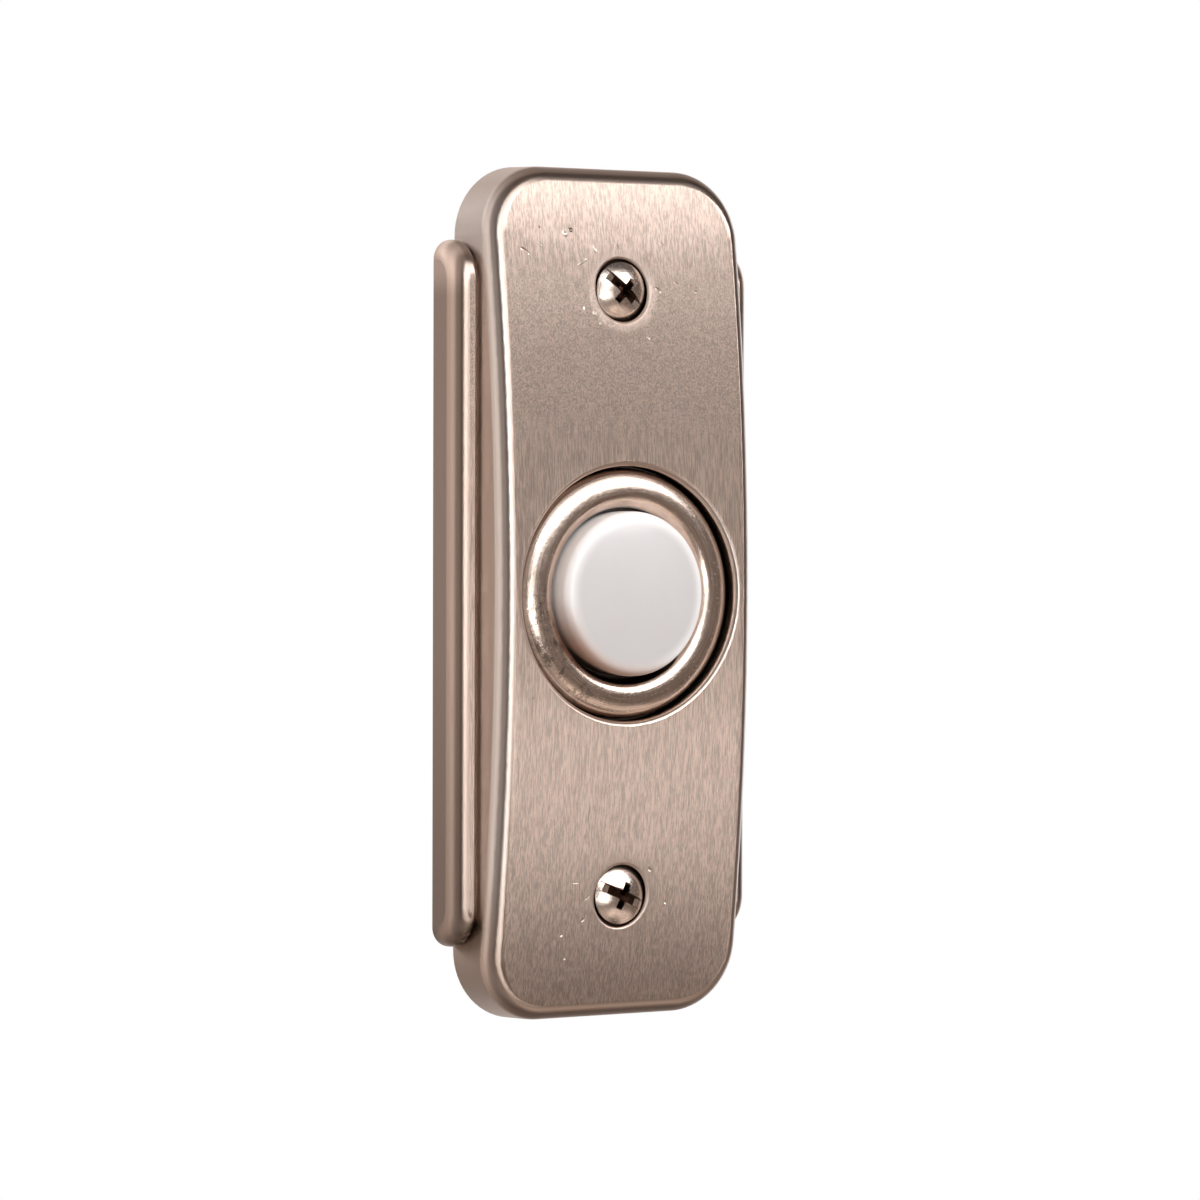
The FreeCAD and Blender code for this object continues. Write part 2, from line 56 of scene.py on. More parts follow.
# %% The camera
IMAGE_SIDE = 1200
PIXELS_PER_RADIAN = 5161.8
SENSOR = 36.0
YAW, PITCH, ROLL = (math.radians(angle) for angle in (33.451, 1.198, 0.151))
TARGET_OFFSET = Vector((-2.08, 600.0, 0.901)) * MM

turn = Matrix.Rotation(ROLL, 3, "Y") @ Matrix.Rotation(PITCH, 3, "X") @ Matrix.Rotation(YAW, 3, "Z")
to_world = turn.transposed()
camera_data = bpy.data.cameras.new("camera")
camera_data.sensor_width = SENSOR
camera_data.lens = PIXELS_PER_RADIAN * SENSOR / IMAGE_SIDE
camera_data.clip_start = 0.01
camera = bpy.data.objects.new("camera", camera_data)
scene.collection.objects.link(camera)
right, forward, up = (to_world @ Vector(axis) for axis in ((1, 0, 0), (0, 1, 0), (0, 0, 1)))
facing = Matrix((right, up, -forward)).transposed()
camera.matrix_world = Matrix.Translation(to_world @ -TARGET_OFFSET) @ facing.to_4x4()
scene.camera = camera
print("camera at", [round(v / MM) for v in camera.matrix_world.translation], "mm, lens",
      round(camera_data.lens, 1), "mm")

# %% [markdown]
# Shader networks are easier to read when a node is made, set and wired in one line, so two small helpers
# come first. A value given for a socket may be a plain number, a colour or the output of another node.

# %% Helpers for shader nodes
def add_node(tree, kind, settings=None, **inputs):
    """Adds a node; underscores in an input's name stand for spaces, and i0, i1 mean sockets by number."""
    made = tree.nodes.new(kind)
    for name, value in (settings or {}).items():
        setattr(made, name, value)
    for name, value in inputs.items():
        key = int(name[1:]) if name[0] == "i" and name[1:].isdigit() else name.replace("_", " ")
        if isinstance(value, bpy.types.NodeSocket):
            tree.links.new(value, made.inputs[key])
        else:
            made.inputs[key].default_value = value
    return made


def math_node(tree, operation, *values, clamp=False):
    inputs = {"i%d" % i: value for i, value in enumerate(values)}
    return add_node(tree, "ShaderNodeMath", {"operation": operation, "use_clamp": clamp}, **inputs).outputs[0]


def ramp(tree, value, start, end, low=0.0, high=1.0):
    """A smooth step of value from start to end, put out between low and high."""
    made = add_node(tree, "ShaderNodeMapRange", {"interpolation_type": "SMOOTHSTEP"},
                    i0=value, i1=start, i2=end, i3=low, i4=high)
    return made.outputs[0]


def mix_colour(tree, factor, a, b, blend="MIX"):
    made = tree.nodes.new("ShaderNodeMix")
    made.data_type = "RGBA"
    made.blend_type = blend
    for socket, value in ((0, factor), (6, a), (7, b)):
        if isinstance(value, bpy.types.NodeSocket):
            tree.links.new(value, made.inputs[socket])
        else:
            made.inputs[socket].default_value = value
    return made.outputs[2]


def grey(level):
    return (level, level, level, 1.0)


print("helpers ready")

# %% [markdown]
# Metal shows its surroundings, so the studio is designed as carefully as the object.
# It could be built from area lamps and cards. It is painted on the world instead, by direction, because soft
# boxes at a distance then reflect without noise and each one is a single line: where it hangs, how large it
# is, how soft its edge is and how bright. Azimuth 0 is straight in front of the button, positive to its right.
# Two wide boxes hang above and in front, three small ones stand just left of the button's axis, one below the
# other, and weaker fills stand at the left, behind and below. The rest of the room is a dim warm grey, which
# the sides of the metal show.
# The white backdrop stands behind the object, and the camera sees white wherever it looks past it.

# %% The studio, painted on the world
SOFT_LIGHTS = [
    # azimuth, elevation, half width, half height, edge across, edge up, strength, colour
    (14, 26.7, 38, 4.5, 8, 5.1, 6.8, (0.98, 1.0, 1.02)),
    (14, 41, 38, 8, 8, 8, 2.6, (0.98, 1.0, 1.02)),
    (-21, 4, 7, 5, 8, 6, 0.9, (0.98, 1.0, 1.0)),
    (-21, 7.8, 7, 1.8, 8, 4, 2.4, (0.98, 1.0, 1.0)),
    (-21, -9.9, 7, 3.4, 8, 4.4, 7.6, (0.98, 1.0, 1.0)),
    (35, -12, 62, 8, 16, 12, 0.08, (1.0, 0.82, 0.70)),
    (-118, 26, 30, 9, 14, 12, 1.2, (1.0, 0.98, 0.97)),
    (-120, -26, 22, 10, 12, 10, 0.75, (1.0, 0.84, 0.72)),
    (90, 84, 180, 16, 10, 12, 0.20, (1.0, 0.93, 0.88)),
    (48, -43, 40, 5, 16, 10, 0.75, (1.0, 0.88, 0.78)),
    (-10, -50, 20, 10, 16, 12, 0.42, (1.0, 0.88, 0.78)),
    (-135, 14, 40, 4, 20, 22, 0.22, (1.0, 0.92, 0.88)),
    (-150, 34, 16, 10, 14, 12, 0.35, (1.0, 0.94, 0.90)),
    (-82, 4, 26, 26, 14, 20, 0.40, (1.0, 0.92, 0.87)),
]
ROOM = (0.115, 0.092, 0.080, 1.0)
BACKDROP_AZIMUTH = 146.5
BACKDROP_HALF_WIDTH = 34.0
BACKDROP_HALF_HEIGHT = 40.0


def soft_light_group():
    """Mask of a soft-edged box of directions."""
    group = bpy.data.node_groups.new("soft light mask", "ShaderNodeTree")
    names = ("Azimuth", "Elevation", "Centre Azimuth", "Centre Elevation", "Half Width", "Half Height",
             "Edge Across", "Edge Up")
    for name in names:
        group.interface.new_socket(name, in_out="INPUT", socket_type="NodeSocketFloat")
    group.interface.new_socket("Mask", in_out="OUTPUT", socket_type="NodeSocketFloat")
    given = group.nodes.new("NodeGroupInput").outputs
    masks = []
    for angle, centre, half, edge in ((0, 2, 4, 6), (1, 3, 5, 7)):
        offset = math_node(group, "ABSOLUTE", math_node(group, "SUBTRACT", given[angle], given[centre]))
        if angle == 0:
            offset = math_node(group, "MINIMUM", offset, math_node(group, "SUBTRACT", 360.0, offset))
        outer = math_node(group, "ADD", given[half], given[edge])
        masks.append(ramp(group, offset, given[half], outer, 1.0, 0.0))
    result = group.nodes.new("NodeGroupOutput")
    group.links.new(math_node(group, "MULTIPLY", *masks), result.inputs[0])
    return group


def place_light(tree, group, azimuth, elevation, centre_az, centre_el, half_w, half_h, edge_w, edge_h):
    return add_node(tree, "ShaderNodeGroup", {"node_tree": group}, Azimuth=azimuth, Elevation=elevation,
                    Centre_Azimuth=centre_az, Centre_Elevation=centre_el, Half_Width=half_w,
                    Half_Height=half_h, Edge_Across=edge_w, Edge_Up=edge_h).outputs[0]


def paint_studio():
    world = bpy.data.worlds.new("studio")
    world.use_nodes = True
    tree = world.node_tree
    tree.nodes.clear()
    direction = tree.nodes.new("ShaderNodeTexCoord").outputs["Generated"]
    split = add_node(tree, "ShaderNodeSeparateXYZ", i0=direction).outputs
    to_front = math_node(tree, "MULTIPLY", split[1], -1.0)
    azimuth = math_node(tree, "DEGREES", math_node(tree, "ARCTAN2", split[0], to_front))
    elevation = math_node(tree, "DEGREES", math_node(tree, "ARCSINE", split[2]))
    group = soft_light_group()
    colour = mix_colour(tree, 0.0, ROOM, ROOM)
    for az, el, half_w, half_h, edge_w, edge_h, strength, tint in SOFT_LIGHTS:
        mask = place_light(tree, group, azimuth, elevation, az, el, half_w, half_h, edge_w, edge_h)
        glow = tuple(strength * part for part in tint) + (1.0,)
        colour = mix_colour(tree, 1.0, colour, mix_colour(tree, mask, grey(0.0), glow), "ADD")
    backdrop = place_light(tree, group, azimuth, elevation, BACKDROP_AZIMUTH, 0.0,
                           BACKDROP_HALF_WIDTH, BACKDROP_HALF_HEIGHT, 8.0, 12.0)
    colour = mix_colour(tree, backdrop, colour, grey(1.0))
    lit = add_node(tree, "ShaderNodeBackground", Color=colour, Strength=1.0)
    white = add_node(tree, "ShaderNodeBackground", Color=grey(1.0), Strength=1.0)
    seen = tree.nodes.new("ShaderNodeLightPath").outputs["Is Camera Ray"]
    blend = add_node(tree, "ShaderNodeMixShader", i0=seen, i1=lit.outputs[0], i2=white.outputs[0])
    out = add_node(tree, "ShaderNodeOutputWorld", i0=blend.outputs[0])
    scene.world = world
    return out


paint_studio()
scene.view_settings.view_transform = "Standard"
print("studio painted with", len(SOFT_LIGHTS), "soft lights")

# %% [markdown]
# The floor is a plain pale disc well below the object, which hangs on its two screws and stands on nothing.
# A photographer also holds a small black card close above a shiny piece on a white ground, so that its upper
# edge stays dark and doesn't melt into the background. The card is out of the camera's sight, and only
# reflections show it.

# %% The floor and the black card
FLOOR_DROP = 0.45
FLOOR_RADIUS = 2.0
CARD_ABOVE = 15.0
CARD_REACH = 25.0


def new_object(name, mesh):
    made = bpy.data.objects.new(name, mesh)
    scene.collection.objects.link(made)
    return made


def floor_material():
    material = bpy.data.materials.new("pale floor")
    material.use_nodes = True
    tree = material.node_tree
    tree.nodes.clear()
    matt = add_node(tree, "ShaderNodeBsdfDiffuse", Color=grey(0.6))
    white = add_node(tree, "ShaderNodeEmission", Color=grey(1.0), Strength=1.0)
    seen = tree.nodes.new("ShaderNodeLightPath").outputs["Is Camera Ray"]
    blend = add_node(tree, "ShaderNodeMixShader", i0=seen, i1=matt.outputs[0], i2=white.outputs[0])
    add_node(tree, "ShaderNodeOutputMaterial", i0=blend.outputs[0])
    return material


def card_material():
    material = bpy.data.materials.new("black card")
    material.use_nodes = True
    surface = material.node_tree.nodes["Principled BSDF"]
    surface.inputs["Base Color"].default_value = (0.03, 0.022, 0.018, 1.0)
    surface.inputs["Roughness"].default_value = 0.9
    return material


disc = bmesh.new()
bmesh.ops.create_circle(disc, cap_ends=True, radius=FLOOR_RADIUS, segments=96)
mesh = bpy.data.meshes.new("floor")
disc.to_mesh(mesh)
disc.free()
floor = new_object("floor", mesh)
floor.location = (0.0, 0.0, -FLOOR_DROP)
floor.data.materials.append(floor_material())
floor.visible_glossy = False

cover_low, cover_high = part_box("front_cover")
card_z = cover_high.z + CARD_ABOVE * MM
card_front = cover_low.y - CARD_REACH * MM
card_back = cover_low.y
card_left, card_right = cover_low.x * 2.0, cover_high.x * 2.5
mesh = bpy.data.meshes.new("black card")
corners = [(card_left, card_front, card_z), (card_right, card_front, card_z), (card_right, card_back, card_z),
           (card_left, card_back, card_z)]
mesh.from_pydata(corners, [], [(0, 1, 2, 3)])
card = new_object("black_card", mesh)
card.data.materials.append(card_material())
card.visible_camera = False
card.visible_diffuse = False
card.visible_shadow = False
print("floor", FLOOR_DROP, "m down; card", CARD_ABOVE, "mm above the cover")

# %% [markdown]
# The cover is a zinc casting with satin nickel over it. It has been brushed along its length, and brushing
# is what gives such metal its look: each line is a tiny groove that throws light sideways, so reflections
# smear across the lines and stay sharp along them.
# Two things make that look. The shader's anisotropy smears the reflections, and a noise that is stretched
# along the brushing gives the visible lines. The noise is a node group, because the ring and the screws are
# worked with the same idea at other scales and in other directions.

# %% The groups: brushing, mottle and nicks
def new_group(name, inputs, outputs):
    group = bpy.data.node_groups.new(name, "ShaderNodeTree")
    kinds = {"f": "NodeSocketFloat", "v": "NodeSocketVector", "c": "NodeSocketColor"}
    for direction, sockets in (("INPUT", inputs), ("OUTPUT", outputs)):
        for socket, kind in sockets:
            group.interface.new_socket(socket, in_out=direction, socket_type=kinds[kind])
    given = group.nodes.new("NodeGroupInput").outputs
    result = group.nodes.new("NodeGroupOutput").inputs
    return group, given, result


def millimetres(tree):
    """Position on the piece in millimetres, in the frame that the solids share."""
    place = tree.nodes.new("ShaderNodeTexCoord").outputs["Object"]
    return add_node(tree, "ShaderNodeVectorMath", {"operation": "SCALE"}, i0=place, Scale=1.0 / MM).outputs[0]


def brushing_group():
    """Long brush lines along Z, with a coarser unevenness under them."""
    group, given, result = new_group(
        "brushing", [("Place", "v"), ("Fineness", "f"), ("Length", "f")], [("Lines", "f"), ("Patches", "f")])
    along = math_node(group, "DIVIDE", 1.0, given["Length"])
    stretch = add_node(group, "ShaderNodeCombineXYZ", i0=given["Fineness"], i1=given["Fineness"], i2=along)
    scaled = add_node(group, "ShaderNodeVectorMath", {"operation": "MULTIPLY"}, i0=given["Place"],
                      i1=stretch.outputs[0]).outputs[0]
    fine = add_node(group, "ShaderNodeTexNoise", Vector=scaled, Scale=1.0, Detail=3.0, Roughness=0.75)
    shifted = add_node(group, "ShaderNodeVectorMath", {"operation": "MULTIPLY_ADD"}, i0=scaled,
                       i1=(0.23, 0.23, 0.35), i2=(7.3, 1.9, 4.1)).outputs[0]
    broad = add_node(group, "ShaderNodeTexNoise", Vector=shifted, Scale=1.0, Detail=2.0, Roughness=0.5)
    lines = math_node(group, "ADD", math_node(group, "MULTIPLY", fine.outputs["Fac"], 0.85),
                      math_node(group, "MULTIPLY", broad.outputs["Fac"], 0.15))
    group.links.new(lines, result["Lines"])
    group.links.new(broad.outputs["Fac"], result["Patches"])
    return group


def nicks_group():
    """Sparse small pits and short scratches."""
    group, given, result = new_group("nicks", [("Place", "v"), ("Spacing", "f"), ("Share", "f"), ("Size", "f")],
                                     [("Mask", "f")])
    scale = math_node(group, "DIVIDE", 1.0, given["Spacing"])
    wobble = add_node(group, "ShaderNodeTexNoise", Vector=given["Place"], Scale=2.2, Detail=1.0)
    bent = add_node(group, "ShaderNodeVectorMath", {"operation": "MULTIPLY_ADD"}, i0=wobble.outputs["Color"],
                    i1=(0.5, 0.5, 0.9), i2=given["Place"]).outputs[0]
    cells = add_node(group, "ShaderNodeTexVoronoi", Vector=bent, Scale=scale, Randomness=1.0)
    chosen = math_node(group, "LESS_THAN", add_node(group, "ShaderNodeSeparateColor",
                                                    i0=cells.outputs["Color"]).outputs[0], given["Share"])
    edge = math_node(group, "MULTIPLY", given["Size"], 0.45)
    near = ramp(group, cells.outputs["Distance"], edge, given["Size"], 1.0, 0.0)
    group.links.new(math_node(group, "MULTIPLY", chosen, near), result["Mask"])
    return group


brushing = brushing_group()
nicks = nicks_group()
print("groups:", brushing.name, nicks.name)

# %% [markdown]
# The cover's own material. Its metal is a warm, slightly pink grey, so the nickel's colour is darker in green
# and blue than in red. Near the top the brush lines are long streaks, under them the polishing left short
# curly marks, and from the ring down there are short straight strokes, so three sets are blended by height.
# The brushing lies along the height of the cover, and the shader needs to know that direction. It is worked
# out from the surface's own normal, because the ready-made tangents turn as the face bows away.
# Only the face is brushed. The edges and the wings were buffed along their length, so there the direction
# follows the edge and their highlights stay narrow. The walls beside the wings are painted paler as painted
# light, less so near the bottom and the top, a painted highlight lies on the upper ends of the wings, the
# wings are painted darker towards their lower ends, and a green-grey residue sits at the end of the left one.
# The inside is bare casting, and painted shade darkens the deep gaps round the ring and the screws.

# %% Small tools for materials
NICKEL = (0.90, 0.72, 0.62, 1.0)
NICKEL_DARK = (0.58, 0.45, 0.38, 1.0)
# Paler nickel, painted on the walls beside the wings as painted light.
LIT_WALL_NICKEL = (0.80, 0.72, 0.67, 1.0)
WING_LOWER_TONE = (0.34, 0.26, 0.22, 1.0)
MARK_DARK = (0.22, 0.17, 0.15, 1.0)
MARK_PALE = (1.0, 0.94, 0.88, 1.0)
RESIDUE_GREEN = (0.16, 0.17, 0.105, 1.0)
# The darkest painted shade, for deep gaps.
DEEP_SHADE = (0.030, 0.018, 0.012, 1.0)
BARE_ZINC = (0.42, 0.40, 0.38, 1.0)
PALE_ZINC = (0.60, 0.57, 0.54, 1.0)


def new_material(name):
    material = bpy.data.materials.new(name)
    material.use_nodes = True
    tree = material.node_tree
    return material, tree, tree.nodes["Principled BSDF"]


def wire(tree, surface, **inputs):
    for name, value in inputs.items():
        key = name.replace("_", " ")
        if isinstance(value, bpy.types.NodeSocket):
            tree.links.new(value, surface.inputs[key])
        else:
            surface.inputs[key].default_value = value


def bump(tree, height, strength, distance, normal=None):
    made = add_node(tree, "ShaderNodeBump", Height=height, Strength=strength, Distance=distance * MM)
    if normal is not None:
        tree.links.new(normal, made.inputs["Normal"])
    return made.outputs[0]


def use_group(tree, group, **inputs):
    return add_node(tree, "ShaderNodeGroup", {"node_tree": group}, **inputs).outputs


def split(tree, vector):
    return add_node(tree, "ShaderNodeSeparateXYZ", i0=vector).outputs


def distance_from(tree, parts, x, z):
    """Distance in millimetres from the line through x and z that runs into the wall."""
    across = math_node(tree, "SUBTRACT", parts[0], x)
    up_from = math_node(tree, "SUBTRACT", parts[2], z)
    square = math_node(tree, "MULTIPLY", across, across)
    return math_node(tree, "SQRT", math_node(tree, "MULTIPLY_ADD", up_from, up_from, square))


def across_the_brushing(tree, face):
    """Level direction on the face, where grooves run up and down, and along the edge everywhere else."""
    normal = tree.nodes.new("ShaderNodeNewGeometry").outputs["Normal"]
    level, along = (add_node(tree, "ShaderNodeVectorMath", {"operation": "CROSS_PRODUCT"}, i0=normal,
                             i1=axis).outputs[0] for axis in ((0.0, 0.0, 1.0), (0.0, 1.0, 0.0)))
    turned = add_node(tree, "ShaderNodeMix", {"data_type": "VECTOR"}, i0=face, i4=along, i5=level).outputs[1]
    never_zero = (0.001, 0.0, 0.0)
    return add_node(tree, "ShaderNodeVectorMath", {"operation": "ADD"}, i0=turned, i1=never_zero).outputs[0]


def capsule(tree, parts, start, end, half_width, edge=0.03):
    """Mask of a round-ended line from start to end, given in x and z."""
    run = (end[0] - start[0], end[1] - start[1])
    square = max(run[0] ** 2 + run[1] ** 2, 1e-6)
    x = math_node(tree, "SUBTRACT", parts[0], start[0])
    z = math_node(tree, "SUBTRACT", parts[2], start[1])
    share = math_node(tree, "MULTIPLY_ADD", z, run[1] / square, math_node(tree, "MULTIPLY", x, run[0] / square))
    share = math_node(tree, "MINIMUM", math_node(tree, "MAXIMUM", share, 0.0), 1.0)
    off_x = math_node(tree, "SUBTRACT", x, math_node(tree, "MULTIPLY", share, run[0]))
    off_z = math_node(tree, "SUBTRACT", z, math_node(tree, "MULTIPLY", share, run[1]))
    away = math_node(tree, "SQRT", math_node(tree, "MULTIPLY_ADD", off_x, off_x,
                                             math_node(tree, "MULTIPLY", off_z, off_z)))
    return ramp(tree, away, half_width + edge, half_width - edge)


def give(material, *names):
    for name in names:
        slots = nodes[name].data.materials
        slots.clear()
        slots.append(material)
    print(material.name, "on", ", ".join(names))


# %% Where things lie on the cover
ring_low, ring_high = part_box("trim_ring")
upper_low, upper_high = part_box("mounting_screw_upper")
SCREW_HEIGHT = (upper_low.z + upper_high.z) / 2 / MM
HEAD_RADIUS = (upper_high.z - upper_low.z) / 2 / MM
FACE_Y = cover_low.y / MM
HALF_HEIGHT = cover_high.z / MM
RING_RADIUS = (ring_high.z - ring_low.z) / 2 / MM
CROWN_RADIUS = 298.0
CORNER_RADIUS = 8.2
HALF_WIDTH = 17.55
WING_FOOT = HALF_WIDTH + 1.0
WING_CREST = HALF_WIDTH + 1.4
SKIN = 1.8
print("face at", round(FACE_Y, 2), "ring radius", round(RING_RADIUS, 2), "screws at", round(SCREW_HEIGHT, 2))


# %% [markdown]
# Years of use leave marks that belong to this one piece: dents and slips of the screwdriver round the screws,
# a few long scratches near the ring. They could come from a noise, but then they would lie anywhere, so the
# larger ones are written down one by one. Each is a round-ended line with a width; how dark it is painted and
# how far it is pressed in are given beside it. Raised burrs catch the light, so they are painted pale.
# Tiny pits, of which there are many, do come from a noise.

# %% Marks on the face
MARKS = [
    # start x and z, end x and z, half width, share of dark, pressed in (negative: raised)
    (-13.36, 39.30, -12.59, 38.75, 0.284, 0.10, 1.0),
    (-6.65, 41.60, -6.40, 41.50, 0.284, 0.55, 1.0),
    (-7.42, 41.12, -7.34, 41.02, 0.340, 0.00, -0.9),
    (-4.76, 38.22, -5.84, 37.56, 0.186, 0.00, -1.0),
    (-10.95, 41.82, -10.70, 41.70, 0.158, 0.50, 0.6),
    (-11.05, 39.85, -10.75, 39.60, 0.172, 0.00, -0.8),
    (-5.47, 32.75, -5.45, 32.10, 0.144, 0.00, -0.7),
    (-3.50, 39.60, -3.30, 39.10, 0.186, 0.15, -0.9),
    (-0.35, 39.95, -0.10, 39.50, 0.172, 0.25, 0.9),
    (5.80, 40.40, 6.15, 40.05, 0.172, 0.20, 0.8),
    (4.70, 35.15, 5.15, 34.80, 0.256, 0.45, 1.0),
    (7.35, 35.95, 7.80, 35.60, 0.172, 0.25, 0.8),
    (3.00, 29.40, 3.40, 29.15, 0.158, 0.00, -0.7),
    (-4.10, 32.05, -3.95, 31.90, 0.242, 0.00, -1.0),
    (-3.36, 30.88, -3.26, 30.76, 0.214, 0.00, -0.9),
    (-5.20, -37.50, -4.85, -37.20, 0.200, 0.30, 1.0),
    (-4.95, -35.10, -4.35, -34.45, 0.144, 0.55, 0.8),
    (-6.90, -33.00, -5.80, -33.00, 0.130, 0.20, 0.5),
    (6.00, -35.55, 6.35, -35.95, 0.172, 0.20, 0.8),
    (3.60, -31.70, 3.85, -31.95, 0.214, 0.50, 1.0),
    (-7.82, -39.25, -7.76, -39.20, 0.228, 0.00, -0.9),
    (-8.75, -39.60, -8.65, -40.15, 0.158, 0.00, -0.8),
    (-9.05, -25.60, -8.95, -28.60, 0.144, 0.00, -0.8),
    (-5.20, -23.40, -5.10, -25.80, 0.144, 0.00, -0.7),
    (8.60, -23.20, 8.60, -25.60, 0.144, 0.00, -0.8),
    (-12.30, -31.20, -12.28, -31.70, 0.158, 0.00, 0.7),
    (-7.14, -41.75, -7.10, -41.65, 0.200, 0.10, 0.8),
]
print("marks:", len(MARKS))


def written_marks(tree, place):
    """The marks of the list as a mask of dark and a height."""
    dark = height = None
    for x1, z1, x2, z2, half_width, shade, press in MARKS:
        reach = math.hypot(x2 - x1, z2 - z1) / 2 + half_width
        local = add_node(tree, "ShaderNodeMapping", {"vector_type": "TEXTURE"}, Vector=place,
                         Location=((x1 + x2) / 2, 0.0, (z1 + z2) / 2), Scale=(reach, 1000.0, half_width),
                         Rotation=(0.0, -math.atan2(z2 - z1, x2 - x1), 0.0)).outputs[0]
        away = add_node(tree, "ShaderNodeVectorMath", {"operation": "LENGTH"}, i0=local).outputs["Value"]
        mask = ramp(tree, away, 1.0, 0.2)
        if shade > 0.0:
            painted = math_node(tree, "MULTIPLY", mask, shade)
            dark = painted if dark is None else math_node(tree, "MAXIMUM", dark, painted)
        if height is None:
            height = math_node(tree, "MULTIPLY", mask, -press)
        else:
            height = math_node(tree, "MULTIPLY_ADD", mask, -press, height)
    return dark, height


# %% Satin nickel for the cover
def depth_under_face(tree, parts):
    """How far a point lies behind the bowed front, in millimetres."""
    bow = math_node(tree, "MULTIPLY", math_node(tree, "MULTIPLY", parts[2], parts[2]), 0.5 / CROWN_RADIUS)
    return math_node(tree, "SUBTRACT", math_node(tree, "SUBTRACT", parts[1], FACE_Y), bow)


def painted_gap_shade(tree, parts, depth):
    """Painted shade at the foot of the ring's pocket and of the two screw holes."""
    pocket = ramp(tree, distance_from(tree, parts, 0.0, 0.0), RING_RADIUS + 0.35, RING_RADIUS + 0.25)
    pocket = math_node(tree, "MULTIPLY", pocket, ramp(tree, depth, 1.1, 1.9, 0.0, 0.88))
    for side in (1, -1):
        hole = ramp(tree, distance_from(tree, parts, 0.0, side * SCREW_HEIGHT), HEAD_RADIUS + 0.42,
                    HEAD_RADIUS + 0.36)
        hole = math_node(tree, "MULTIPLY", hole, ramp(tree, depth, 0.24, 0.50))
        pocket = math_node(tree, "MAXIMUM", pocket, hole)
    return pocket


def inside_cover(tree, parts, depth, normal_parts):
    """The hollow back of the casting, with the rim that meets the wall."""
    behind = ramp(tree, depth, SKIN * 0.75, SKIN * 0.9)
    beyond = []
    for part, half in ((parts[0], HALF_WIDTH), (parts[2], HALF_HEIGHT)):
        past = math_node(tree, "SUBTRACT", math_node(tree, "ABSOLUTE", part), half - CORNER_RADIUS)
        past = math_node(tree, "MAXIMUM", past, 0.0)
        beyond.append(math_node(tree, "MULTIPLY", past, past))
    from_corner = math_node(tree, "SQRT", math_node(tree, "ADD", *beyond))
    enclosed = math_node(tree, "LESS_THAN", from_corner, CORNER_RADIUS - SKIN * 0.75)
    hollow = math_node(tree, "MULTIPLY", behind, enclosed)
    back = math_node(tree, "GREATER_THAN", normal_parts[1], 0.9)
    return math_node(tree, "MAXIMUM", hollow, back)


def brush_lines(tree, place, height):
    """Long streaks at the top, curly strokes from polishing below them, and short streaks at the bottom."""
    streaks = use_group(tree, brushing, Place=place, Fineness=5.5, Length=6.0)["Lines"]
    curls = use_group(tree, brushing, Place=place, Fineness=6.0, Length=0.24)["Lines"]
    strokes = use_group(tree, brushing, Place=place, Fineness=7.0, Length=3.6)["Lines"]
    middle = ramp(tree, height, 14.0, 24.0)
    top = ramp(tree, height, 32.0, 41.0)
    lines = add_node(tree, "ShaderNodeMix", i0=middle, i2=strokes, i3=curls).outputs[0]
    return add_node(tree, "ShaderNodeMix", i0=top, i2=lines, i3=streaks).outputs[0]


def worn_halo(tree, parts, lines):
    """Scuffed metal round the two screw holes, strongest at their edge."""
    rings = []
    for side in (1, -1):
        reach = distance_from(tree, parts, 0.0, side * SCREW_HEIGHT)
        rings.append(ramp(tree, reach, HEAD_RADIUS + 2.4, HEAD_RADIUS + 0.6))
    return math_node(tree, "MULTIPLY", math_node(tree, "ADD", *rings), ramp(tree, lines, 0.44, 0.62))


